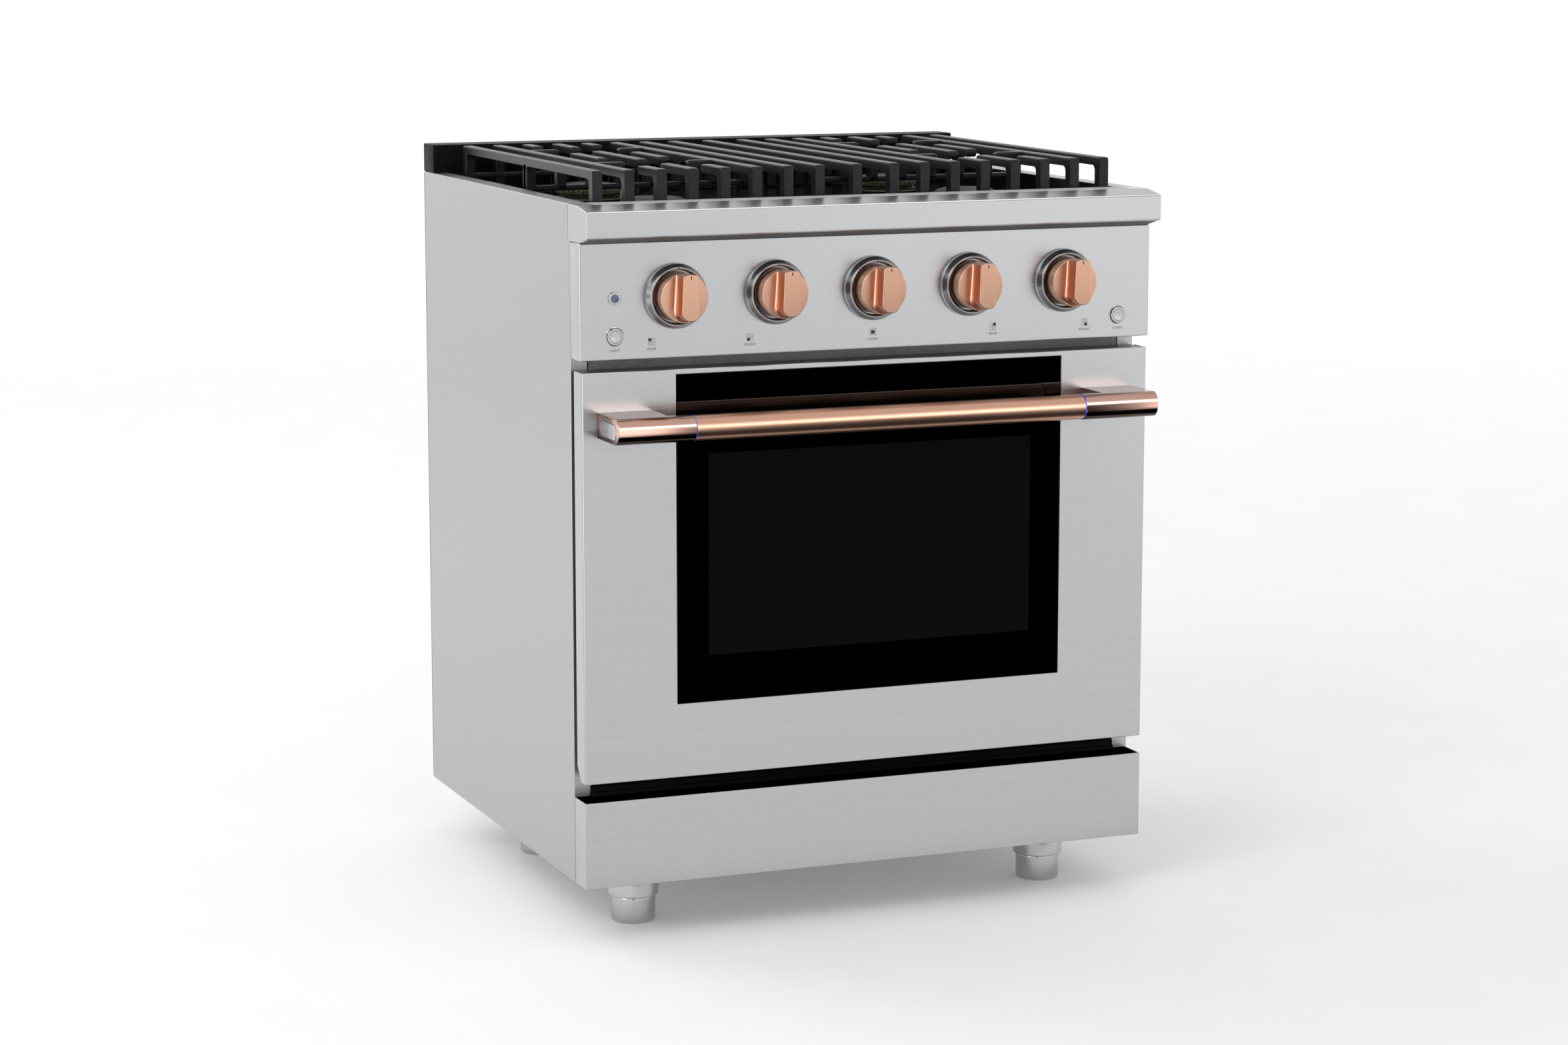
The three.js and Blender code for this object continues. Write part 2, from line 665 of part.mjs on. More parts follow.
function rearTrim() {
  const half = WIDTH / 2;
  const outside = slab(half, TRIM_FRONT, BODY_DEPTH, TRIM_BOTTOM, GRATE_TOP);
  const [innerFront, innerBack] = [TRIM_FRONT + TRIM_WALL, BODY_DEPTH - TRIM_WALL];
  const ceiling = GRATE_TOP - TRIM_WALL;
  const inside = slab(half - TRIM_WALL, innerFront, innerBack, TRIM_BOTTOM - 1, ceiling);
  const [slotFront, slotBack] = [TRIM_FRONT + TRIM_MARGIN, BODY_DEPTH - TRIM_MARGIN];
  let trim = outside.subtract(inside);
  for (let i = 0; i < TRIM_SLOTS; i += 1) {
    const x = (i - (TRIM_SLOTS - 1) / 2) * TRIM_PITCH;
    const [a, b] = [x - TRIM_SLOT_HALF, x + TRIM_SLOT_HALF];
    trim = trim.subtract(box(a, b, slotFront, slotBack, ceiling - 1, GRATE_TOP + 1));
  }
  return trim;
}

place('cooktop_pan', cooktopPan(), blackEnamel);
place('grate_left', grate(-1), castIron);
place('grate_right', grate(1), castIron);
place('grate_centre', centreGrate(), castIron);
place('rear_vent_trim', rearTrim(), blackSheet);

// ---------------------------------------------------------------- controls
// A bezel: a flared steel ring with a rounded lip and a recess that the knob sits in.
const BEZEL_RADIUS = 39.5;
const BEZEL_SHOULDER = 6.6;
const BEZEL_BORE = 8;
const BEZEL_FLOOR = 4;
const LIP_RADIUS = 36.1;
const LIP_FRONT = 14;
const RECESS_RADIUS = 32.4;

function knobBezel() {
  return turnedForward([
    [BEZEL_BORE, GAP], [BEZEL_RADIUS, GAP], [BEZEL_RADIUS, BEZEL_SHOULDER], [LIP_RADIUS, LIP_FRONT - 1.6],
    [LIP_RADIUS - 1.5, LIP_FRONT], [RECESS_RADIUS + 0.6, LIP_FRONT], [RECESS_RADIUS, BEZEL_FLOOR],
    [BEZEL_BORE, BEZEL_FLOOR], [BEZEL_BORE, GAP],
  ], 20);
}

// A knob: a drum with a grip across its face, bored from behind for the stem. The top of the
// grip follows the drum, and its lower corners are well rounded.
const DRUM_RADIUS = 30;
const DRUM_BACK = 8;
const DRUM_FRONT = 34.7;
const GRIP_FRONT = 57.8;
const GRIP_HALF_WIDTH = 12;
const GRIP_BOTTOM = -26;
const GRIP_CORNER = 10;
const GRIP_TOP_ANGLE = 1.142;
const STEM_TIP = 28;
const STEM_BACK = -25;

function knob(bored) {
  const drum = turnedForward([
    [0, DRUM_BACK], [DRUM_RADIUS, DRUM_BACK], [DRUM_RADIUS, DRUM_FRONT - 1], [DRUM_RADIUS - 1, DRUM_FRONT],
    [0, DRUM_FRONT],
  ]);
  const cornerX = GRIP_HALF_WIDTH - GRIP_CORNER;
  const cornerZ = GRIP_BOTTOM + GRIP_CORNER;
  const outline = new THREE.Shape();
  outline.absarc(0, 0, DRUM_RADIUS - 0.5, GRIP_TOP_ANGLE, Math.PI - GRIP_TOP_ANGLE);
  outline.absarc(-cornerX, cornerZ, GRIP_CORNER, Math.PI, 1.5 * Math.PI);
  outline.absarc(cornerX, cornerZ, GRIP_CORNER, 1.5 * Math.PI, 2 * Math.PI);
  const grip = alongY(outline, -GRIP_FRONT, 1 - DRUM_FRONT);
  const whole = join(drum, grip);
  return bored ? whole.subtract(rodForward(STEM_RADIUS + GAP, 0, STEM_TIP + 4)) : whole.add(valveStem());
}

function valveStem() {
  return rodForward(STEM_RADIUS, STEM_BACK, STEM_TIP);
}

const KNOBS = ['rear_left', 'front_left', 'oven', 'rear_right', 'front_right'];
const OVEN_KNOB = 2;

KNOBS.forEach((control, i) => {
  place(`knob_bezel_${control}`, knobBezel(), steel, knobX(i), 0, KNOB_Z);
  place(`knob_${control}`, knob(i !== OVEN_KNOB), copper, knobX(i), 0, KNOB_Z);
  if (i !== OVEN_KNOB) place(`valve_stem_${control}`, valveStem(), galvanised, knobX(i), 0, KNOB_Z);
});

// A push button: a cap with a flange behind the panel, so that it can't come out.
const BUTTON_RADIUS = 10.5;
const BUTTON_FRONT = 3.6;
const BUTTON_FLANGE = 13;
const FLANGE_FRONT = -2.4;
const FLANGE_BACK = -6;

function button() {
  return turnedForward([
    [0, FLANGE_BACK], [BUTTON_FLANGE, FLANGE_BACK], [BUTTON_FLANGE, FLANGE_FRONT],
    [BUTTON_RADIUS, FLANGE_FRONT], [BUTTON_RADIUS, BUTTON_FRONT - 1], [BUTTON_RADIUS - 1, BUTTON_FRONT],
    [0, BUTTON_FRONT],
  ], 16);
}

// The lamp: a ring on the panel's face around a lens.
const LAMP_RADIUS = 4.5;
const LAMP_BACK = -12;
const LAMP_RING = 8;
const LAMP_FRONT = 2.4;

function lamp() {
  return turnedForward([
    [0, LAMP_BACK], [LAMP_RADIUS, LAMP_BACK], [LAMP_RADIUS, GAP], [LAMP_RING, GAP], [LAMP_RING, 1.6],
    [LAMP_RING - 2, LAMP_FRONT], [0, LAMP_FRONT],
  ], 12);
}

place('light_button', button(), steel, -BUTTON_X, 0, BUTTON_Z);
place('convection_button', button(), steel, BUTTON_X, 0, BUTTON_Z);
place('indicator_lamp', lamp(), lens, -BUTTON_X, 0, LAMP_Z);

// ---------------------------------------------------------------- door
// The skin: a folded sheet with side and bottom flanges and the opening for the glass. The
// lower rear corners of the side flanges are cut off, and the bottom has hinge slots.
const HINGE_SLOT = [HINGE_X - 7, HINGE_X + 7];
const CUT_DEPTH = 14;
const CUT_HEIGHT = 20;

function doorSkin() {
  const half = DOOR_WIDTH / 2;
  const outside = [
    [0, DOOR_BOTTOM], [DOOR_FLANGE - CUT_DEPTH, DOOR_BOTTOM], [DOOR_FLANGE, DOOR_BOTTOM + CUT_HEIGHT],
    [DOOR_FLANGE, DOOR_TOP], [0, DOOR_TOP],
  ];
  const block = alongX(polygon(outside), -half, half);
  const inside = slab(half - SHEET, SHEET, DOOR_FLANGE + 1, DOOR_BOTTOM + SHEET, DOOR_TOP + 1);
  const opening = slab(GLASS_HALF + GAP, -1, SHEET + 1, GLASS_BOTTOM - GAP, GLASS_TOP + GAP);
  let skin = block.subtract(inside).subtract(opening);
  for (const side of [-1, 1]) {
    const edges = HINGE_SLOT.map((x) => side * x);
    const [a, b] = [Math.min(...edges), Math.max(...edges)];
    skin = skin.subtract(box(a, b, 6, DOOR_FLANGE, DOOR_BOTTOM - 1, DOOR_BOTTOM + SHEET + 1));
  }
  return skin;
}

const GLASS_FRONT = 0.6;
const GLASS_BACK = 4.6;

function doorGlass() {
  return slab(GLASS_HALF, GLASS_FRONT, GLASS_BACK, GLASS_BOTTOM, GLASS_TOP);
}

// The liner: the door's inner pan, folded from one sheet and open towards the skin, with a
// raised panel behind, a sleeve round the window, notches for the hinges and vents in its top.
const LINER_HALF = DOOR_WIDTH / 2 - SHEET - GAP;
const LINER_FRONT = 5;
const LINER_BOTTOM = HINGE_Z + 2;
const LINER_TOP = DOOR_TOP - 1;
const LINER_STEP = 20;
const VENTS = 17;
const VENT_PITCH = 38;
const VENT_HALF = 16;
const VENT_DEPTH = 5;
const VENT_ROWS = [19, 9];
const NOTCH_HEIGHT = 24;

function doorLiner() {
  const [low, high] = [LINER_BOTTOM + SHEET, LINER_TOP - SHEET];
  const outside = join(
    slab(LINER_HALF, LINER_FRONT, DOOR_FLANGE, LINER_BOTTOM, LINER_TOP),
    slab(LINER_HALF - LINER_STEP, DOOR_FLANGE - 1, DOOR_BACK, LINER_BOTTOM, LINER_TOP),
  );
  const inside = join(
    slab(LINER_HALF - SHEET, LINER_FRONT - 1, DOOR_FLANGE - SHEET, low, high),
    slab(LINER_HALF - LINER_STEP - SHEET, DOOR_FLANGE - SHEET - 1, DOOR_BACK - SHEET, low, high),
  );
  const frame = slab(WINDOW_HALF + SHEET, LINER_FRONT, DOOR_BACK, WINDOW_BOTTOM - SHEET, WINDOW_TOP + SHEET);
  const window = slab(WINDOW_HALF, LINER_FRONT - 1, DOOR_BACK + 1, WINDOW_BOTTOM, WINDOW_TOP);
  let liner = join(outside.subtract(inside), frame).subtract(window);
  for (const side of [-1, 1]) {
    const edges = HINGE_SLOT.map((x) => side * x);
    const [a, b] = [Math.min(...edges), Math.max(...edges)];
    liner = liner.subtract(box(a, b, 0, DOOR_BACK + 1, LINER_BOTTOM - 1, LINER_BOTTOM + NOTCH_HEIGHT));
  }
  for (let i = 0; i < VENTS; i += 1) {
    const x = (i - (VENTS - 1) / 2) * VENT_PITCH;
    const y = VENT_ROWS[i % 2];
    liner = liner.subtract(box(x - VENT_HALF, x + VENT_HALF, y, y + VENT_DEPTH, high - 1, LINER_TOP + 1));
  }
  return liner;
}

function innerGlass() {
  return slab(WINDOW_HALF - GAP, DOOR_BACK - 6, DOOR_BACK - 1, WINDOW_BOTTOM + GAP, WINDOW_TOP - GAP);
}

// A hinge: a plate that stands out of the front frame, with the pin that the door turns on.
const HINGE_MARGIN = 8;
const HEEL_BOTTOM = 193;
const PIN_RADIUS = 4;
const PIN_HALF = 6;

function hinge() {
  const top = HINGE_Z + HINGE_MARGIN;
  const plate = slab(2, HINGE_Y - HINGE_MARGIN, SEAM, HINGE_Z - HINGE_MARGIN, top);
  const heel = slab(2, SEAM - 2, SEAM + SHEET, HEEL_BOTTOM, top);
  const round = new THREE.Shape().absarc(0, 0, PIN_RADIUS, 0, 2 * Math.PI);
  const pin = alongX(round, -PIN_HALF, PIN_HALF);
  return join(plate, heel, pin.translate([0, HINGE_Y, HINGE_Z]));
}

// A handle end: a block with a rounded front, from the door's face to the outer end of the
// handle, and the round end section that the grip continues.
const NOSE_RADIUS = 13;

function handleOutline(back) {
  const [low, high] = [HANDLE_Z - HANDLE_HEIGHT / 2, HANDLE_Z + HANDLE_HEIGHT / 2];
  const centre = -HANDLE_REACH + NOSE_RADIUS;
  const outline = new THREE.Shape();
  outline.moveTo(back, low);
  outline.lineTo(back, high);
  outline.absarc(centre, high - NOSE_RADIUS, NOSE_RADIUS, Math.PI / 2, Math.PI);
  outline.absarc(centre, low + NOSE_RADIUS, NOSE_RADIUS, Math.PI, 1.5 * Math.PI);
  return outline;
}

function handleBracket(side) {
  const gripBack = HANDLE_HEIGHT - HANDLE_REACH;
  const block = alongX(handleOutline(-GAP), BRACKET_INNER, HANDLE_HALF);
  const stub = alongX(handleOutline(gripBack), GRIP_HALF + GAP, BRACKET_INNER + 1);
  const whole = join(block, stub);
  return side > 0 ? whole : whole.mirror([1, 0, 0]);
}

function handleBar() {
  const radius = HANDLE_HEIGHT / 2;
  const outline = new THREE.Shape();
  outline.absarc(radius - HANDLE_REACH, HANDLE_Z, radius - 0.2, 0, 2 * Math.PI);
  return alongX(outline, -GRIP_HALF, GRIP_HALF);
}

place('door_skin', doorSkin(), steel);
place('door_glass', doorGlass(), glassBlack);
place('door_liner', doorLiner(), blackEnamel);
place('door_inner_glass', innerGlass(), glassBlack);
place('handle_bar', handleBar(), copper);
for (const [hand, side] of [['left', -1], ['right', 1]]) {
  place(`handle_bracket_${hand}`, handleBracket(side), copper);
  place(`door_hinge_${hand}`, hinge(), steel, side * HINGE_X);
}

export default range;
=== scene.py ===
"""A freestanding gas range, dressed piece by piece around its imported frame."""

import math

import bmesh
import bpy
import numpy as np
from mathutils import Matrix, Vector
from mathutils.geometry import delaunay_2d_cdt


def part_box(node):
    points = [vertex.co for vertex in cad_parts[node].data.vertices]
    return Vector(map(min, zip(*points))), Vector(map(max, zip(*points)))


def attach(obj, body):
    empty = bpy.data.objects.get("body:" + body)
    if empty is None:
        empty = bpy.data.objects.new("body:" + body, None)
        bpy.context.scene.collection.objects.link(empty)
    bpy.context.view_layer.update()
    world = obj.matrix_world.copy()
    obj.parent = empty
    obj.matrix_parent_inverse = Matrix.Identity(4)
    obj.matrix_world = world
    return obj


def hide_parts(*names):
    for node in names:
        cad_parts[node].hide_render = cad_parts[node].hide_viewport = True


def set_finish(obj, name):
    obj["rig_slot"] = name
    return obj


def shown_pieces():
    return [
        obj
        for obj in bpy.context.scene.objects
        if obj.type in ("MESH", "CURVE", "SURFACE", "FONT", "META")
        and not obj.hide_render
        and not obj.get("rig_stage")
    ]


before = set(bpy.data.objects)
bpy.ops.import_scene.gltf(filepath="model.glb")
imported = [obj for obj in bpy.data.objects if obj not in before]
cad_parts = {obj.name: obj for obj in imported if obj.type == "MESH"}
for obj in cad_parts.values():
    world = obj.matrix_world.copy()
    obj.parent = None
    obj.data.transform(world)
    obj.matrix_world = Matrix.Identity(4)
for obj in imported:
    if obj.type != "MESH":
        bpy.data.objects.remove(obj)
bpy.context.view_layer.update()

# ------------------------------------------------------------------ camera
# The eye stands to the left of the range and above it, with a long lens, and looks slightly
# down at it.
EYE = Vector((-1.7881, -4.4528, 1.2503))
GAZE = Vector((0.3674, 0.9158, -0.1625))
LENS = 84.816

camera_data = bpy.data.cameras.new("camera")
camera_data.lens = LENS
camera_data.sensor_width = 36
camera_data.clip_end = 400
camera = bpy.data.objects.new("camera", camera_data)
camera.location = EYE
camera.rotation_mode = "QUATERNION"
camera.rotation_quaternion = GAZE.to_track_quat("-Z", "Y")
bpy.context.scene.collection.objects.link(camera)
bpy.context.scene.camera = camera
bpy.context.scene.view_settings.view_transform = "Standard"

# ------------------------------------------------------------------ studio
# A white room: a wide pale floor that glows more with distance, a white sky that is greyer
# overhead, soft lamps, and three black flags that only reflections see, which keep glare out of
# the door's glass and darken the bright metal in places.
FLOOR_HALF = 150.0
FLOOR_CELLS = 6
FLOOR_DROP = 0.0004
NEAR_GLOW = 0.10
FAR_GLOW = 0.36
SKY = 1.13


def wire(tree, kind, **values):
    """A shader node of that kind. A value that is a socket is joined to the input of that
    name, with _ for a space; any other value is set on it, or on the node's own property."""
    made = tree.nodes.new(kind)
    for name, value in values.items():
        label = name.replace("_", " ")
        if hasattr(made, name) and label not in made.inputs:
            setattr(made, name, value)
            continue
        socket = made.inputs[label]
        if isinstance(value, bpy.types.NodeSocket):
            tree.links.new(value, socket)
        else:
            socket.default_value = value
    return made


def blank_material(name):
    """A material with nodes, and its Principled shader."""
    made = bpy.data.materials.new(name)
    made.use_nodes = True
    return made, made.node_tree, made.node_tree.nodes["Principled BSDF"]


def object_noise(tree, scale, detail=2.0, roughness=0.5, where=(0, 0, 0), turn=(0, 0, 0)):
    """Noise over the object's own metres, repeating scale = (x, y, z) times a metre."""
    spot = wire(tree, "ShaderNodeTexCoord").outputs["Object"]
    mapped = wire(tree, "ShaderNodeMapping", Vector=spot, Location=where, Rotation=turn, Scale=scale)
    noise = wire(
        tree, "ShaderNodeTexNoise", Vector=mapped.outputs[0], Scale=1.0, Detail=detail,
        Roughness=roughness,
    )
    return noise.outputs["Fac"]


def spread(tree, value, low, high, start=0.3, stop=0.7):
    """value, stretched from start..stop to low..high."""
    made = wire(tree, "ShaderNodeMapRange")
    tree.links.new(value, made.inputs[0])
    for k, number in enumerate((start, stop, low, high), 1):
        made.inputs[k].default_value = number
    return made.outputs[0]


def shade(tree, value, dark, light):
    """The colour that lies value of the way from dark to light."""
    mix = wire(tree, "ShaderNodeMix", data_type="RGBA")
    tree.links.new(value, mix.inputs[0])
    mix.inputs[6].default_value = (*dark, 1)
    mix.inputs[7].default_value = (*light, 1)
    return mix.outputs[2]


def scaled(colour, share):
    return tuple(share * part for part in colour)


def mottled(name, scale, dark, light, roughness, detail=2.0):
    """A plain finish whose colour wanders from dark to light over noise. Gives the material, its
    tree, its shader and the noise."""
    made, tree, shader = blank_material(name)
    noise = object_noise(tree, scale, detail)
    tree.links.new(shade(tree, noise, dark, light), shader.inputs["Base Color"])
    shader.inputs["Roughness"].default_value = roughness
    return made, tree, shader, noise


floor_finish, tree, shader = blank_material("white_floor")
grain = object_noise(tree, (6, 6, 6))
pale = shade(tree, spread(tree, grain, 0, 1), (0.93,) * 3, (0.95,) * 3)
tree.links.new(pale, shader.inputs["Base Color"])
shader.inputs["Roughness"].default_value = 0.9
shader.inputs["Specular IOR Level"].default_value = 0.1
shader.inputs["Emission Color"].default_value = (1, 1, 1, 1)
spot = wire(tree, "ShaderNodeTexCoord").outputs["Object"]
reach = wire(tree, "ShaderNodeVectorMath", operation="LENGTH", Vector=spot).outputs["Value"]
tree.links.new(spread(tree, reach, NEAR_GLOW, FAR_GLOW, 1.2, 9.0), shader.inputs["Emission Strength"])

across = np.linspace(-FLOOR_HALF, FLOOR_HALF, FLOOR_CELLS + 1)
floor_x, floor_y = np.meshgrid(across, across)
floor_points = np.stack([floor_x, floor_y, np.full_like(floor_x, -FLOOR_DROP)], -1).reshape(-1, 3)
row = FLOOR_CELLS + 1
cell = (np.arange(FLOOR_CELLS)[:, None] * row + np.arange(FLOOR_CELLS)).ravel()
floor_mesh = bpy.data.meshes.new("floor")
floor_mesh.from_pydata(floor_points, [], np.stack([cell, cell + 1, cell + row + 1, cell + row], 1).tolist())
floor_mesh.materials.append(floor_finish)
floor = bpy.data.objects.new("floor", floor_mesh)
bpy.context.scene.collection.objects.link(floor)
floor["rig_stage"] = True

world = bpy.data.worlds.new("sky")
world.use_nodes = True
bpy.context.scene.world = world
sky = world.node_tree
direction = wire(sky, "ShaderNodeTexCoord").outputs["Generated"]
height = wire(sky, "ShaderNodeSeparateXYZ", Vector=direction).outputs["Z"]
ramp = wire(sky, "ShaderNodeValToRGB", Fac=height)
ramp.color_ramp.elements[0].color = (1.0, 1.0, 1.0, 1)
ramp.color_ramp.elements[1].color = (0.7, 0.7, 0.71, 1)
for place, level in ((0.24, 1.0), (0.5, 0.55), (0.75, 0.6)):
    ramp.color_ramp.elements.new(place).color = (level, level, level * 1.01, 1)
sky.nodes["Background"].inputs["Strength"].default_value = SKY
sky.links.new(ramp.outputs["Color"], sky.nodes["Background"].inputs["Color"])


def lamp_card(name, place, aim, width, height, watts):
    """A soft rectangular lamp that faces the point aim."""
    data = bpy.data.lights.new(name, "AREA")
    data.shape = "RECTANGLE"
    data.size, data.size_y = width, height
    data.energy = watts
    made = bpy.data.objects.new(name, data)
    made.location = place
    made.rotation_mode = "QUATERNION"
    made.rotation_quaternion = (Vector(aim) - Vector(place)).to_track_quat("-Z", "Y")
    made.visible_camera = False
    bpy.context.scene.collection.objects.link(made)
    return made


lamp_card("key_lamp", (-3.4, -2.6, 3.4), (0, 0, 0.4), 2.4, 2.4, 60)
lamp_card("rim_lamp", (-2.2, 2.8, 3.0), (0, 0, 0.7), 2.0, 2.0, 30)

flag_finish, tree, shader, weave = mottled("black_flag", (400,) * 3, (0, 0, 0), (0.004,) * 3, 1.0)
shader.inputs["Specular IOR Level"].default_value = 0.0


def flag(name, corners):
    """A black cloth that only reflections see."""
    mesh = bpy.data.meshes.new(name)
    mesh.from_pydata(corners, [], [(0, 1, 2, 3)])
    mesh.materials.append(flag_finish)
    made = bpy.data.objects.new(name, mesh)
    bpy.context.scene.collection.objects.link(made)
    for ray in ("camera", "diffuse", "shadow", "transmission"):
        setattr(made, f"visible_{ray}", False)
    made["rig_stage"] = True


flag("glass_flag", [(0.02, -1.2, 0.02), (0.78, -1.2, 0.02), (0.78, -1.2, 0.66), (0.02, -1.2, 0.66)])
flag("floor_flag", [(-1.1, -1.7, 0.004), (1.5, -1.7, 0.004), (1.5, -0.40, 0.004), (-1.1, -0.40, 0.004)])
flag("edge_flag", [(-1.6, -3.2, 0.02), (-0.85, -3.2, 0.02), (-0.85, -3.2, 1.6), (-1.6, -3.2, 1.6)])
steel_fills = [
    lamp_card("glass_flag_fill", (0.40, -1.195, 0.34), (0.40, 0, 0.34), 0.76, 0.64, 1.5),
    lamp_card("floor_flag_fill", (0.20, -1.07, 0.008), (0.20, -1.07, 1), 2.6, 1.26, 9.5),
    lamp_card("steel_sheen", (1.9, -3.3, 0.9), (0, -0.3, 0.6), 1.5, 1.6, 2.0),
]
edge_lamps = [
    lamp_card("top_edges", (0.7, -0.8, 2.8), (0, -0.3, 0.7), 2.6, 0.8, 14),
    lamp_card("left_edges", (-2.6, -1.3, 0.5), (-0.4, -0.3, 0.5), 0.9, 1.8, 12),
]
handle_lamps = [
    lamp_card("handle_strip", (1.1, -2.9, 1.45), (0, -0.36, 0.64), 2.2, 0.8, 12),
    lamp_card("handle_glow", (0.95, -2.75, 0.62), (0, -0.36, 0.64), 2.4, 0.9, 5),
]

# ------------------------------------------------------------------ side panels
# Each side is one sheet of brushed stainless steel with its four edges folded in. The brush
# lines run from front to back, and the folds catch a thin line of light.
STEEL = (0.495, 0.50, 0.51)
PANEL_WALL = 2.0
FOLD = 1.4


def span(node):
    """The lowest and highest corner of a frame node, in millimetres."""
    low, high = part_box(node)
    return np.array(low) * 1000, np.array(high) * 1000


def rounded(corners, radii, steps=6):
    """A closed outline from a polygon whose corners are replaced by arcs. Each arc touches both
    of its sides: its centre lies on the corner's bisector, radius / sin(half angle) away."""
    points = np.asarray(corners, float)
    to_last = np.roll(points, 1, 0) - points
    to_next = np.roll(points, -1, 0) - points
    last_length = np.linalg.norm(to_last, axis=1, keepdims=True)
    next_length = np.linalg.norm(to_next, axis=1, keepdims=True)
    to_last /= last_length
    to_next /= next_length
    half = np.arccos(np.clip((to_last * to_next).sum(1, keepdims=True), -1, 1)) / 2
    radius = np.broadcast_to(np.asarray(radii, float), len(points))[:, None]
    cut = np.minimum(radius / np.tan(half), 0.49 * np.minimum(last_length, next_length))
    radius = cut * np.tan(half)
    bisector = to_last + to_next
    bisector /= np.linalg.norm(bisector, axis=1, keepdims=True)
    centre = points + bisector * radius / np.sin(half)
    start = points + to_last * cut - centre
    stop = points + to_next * cut - centre
    sweep = (math.pi - 2 * half)[:, :, None]
    share = np.linspace(0, 1, steps + 1)[None, :, None]
    arc = np.sin((1 - share) * sweep) * start[:, None] + np.sin(share * sweep) * stop[:, None]
    return (centre[:, None] + arc / np.sin(sweep)).reshape(-1, 2)


def rectangle(u0, u1, v0, v1, radius, steps=6):
    """A rectangle from (u0, v0) to (u1, v1) with rounded corners, going round to the left."""
    radius = max(radius, 0.15)
    return rounded([(u0, v0), (u1, v0), (u1, v1), (u0, v1)], radius, steps)


def inset(outline, distance):
    """An outline moved inwards: every point goes along the bisector of its two sides."""
    side = np.roll(outline, -1, 0) - outline
    side /= np.linalg.norm(side, axis=1, keepdims=True)
    inward = np.stack([-side[:, 1], side[:, 0]], 1)
    before = np.roll(inward, 1, 0)
    bend = (inward + before) / (1 + (inward * before).sum(1, keepdims=True))
    u, v = outline.T
    turns_left = (u * np.roll(v, -1) - v * np.roll(u, -1)).sum() > 0
    return outline + bend * (distance if turns_left else -distance)


def ring(outline, axis, place):
    """An outline's points in space, on the plane that crosses the axis x, y or z at place."""
    u, v = outline.T
    w = np.broadcast_to(np.asarray(place, float), u.shape)
    return np.stack({"x": (w, u, v), "y": (u, w, v), "z": (u, v, w)}[axis], 1)


def surface(rings, closed=False, caps=True):
    """The surface through a stack of rings: point j of ring i is joined to point j + 1 and to
    ring i + 1. A closed stack returns to its first ring; an open one is capped at both ends."""
    rings = np.asarray(rings)
    count, points, _ = rings.shape
    i, j = np.meshgrid(np.arange(count if closed else count - 1), np.arange(points), indexing="ij")
    after, beside = (i + 1) % count, (j + 1) % points
    quads = [i * points + j, i * points + beside, after * points + beside, after * points + j]
    faces = [np.stack(quads, -1).reshape(-1, 4)]
    if caps and not closed:
        first = np.arange(points)[None]
        faces += [first[:, ::-1], first + (count - 1) * points]
    return rings.reshape(-1, 3), faces


def quarter(steps=3):
    """Cosines and sines of a quarter turn, for a rounded edge."""
    angle = np.linspace(0, math.pi / 2, steps + 1)
    return np.cos(angle), np.sin(angle)


def prism(outline, axis, low, high, edge=0.5, steps=3):
    """An outline carried along an axis from low to high, with its two ends rounded over: the
    ring that is edge * (1 - cos) from an end is drawn in by edge * (1 - sin)."""
    cos, sin = quarter(steps)
    levels = [(edge * (1 - s), edge * (1 - c)) for c, s in zip(cos, sin)]
    rings = [ring(inset(outline, inward), axis, low + along) for inward, along in levels]
    rings += [ring(inset(outline, inward), axis, high - along) for inward, along in levels[::-1]]
    return surface(rings)


def holed_face(outline, holes, axis, place):
    """A flat face whose triangles follow the outlines of the holes, which are left open."""
    loops = [outline, *holes]
    starts = np.cumsum([0] + [len(loop) for loop in loops[:-1]])
    sides = [
        np.stack([first + np.arange(len(loop)), first + (np.arange(len(loop)) + 1) % len(loop)], 1)
        for first, loop in zip(starts, loops)
    ]
    flat = np.concatenate(loops)
    made = delaunay_2d_cdt([Vector(p) for p in flat], np.concatenate(sides).tolist(), [], 5, 1e-6)
    corners = ring(np.array([tuple(p) for p in made[0]]), axis, place)
    return corners, [np.array(face)[None] for face in made[2]]


def sheet(outline, holes, axis, low, high):
    """A flat sheet marked with holes: two faces and a wall round every outline."""
    walls = [
        surface([ring(loop, axis, low), ring(loop, axis, high)], caps=False)
        for loop in (outline, *holes)
    ]
    return [holed_face(outline, holes, axis, low), holed_face(outline, holes, axis, high), *walls]


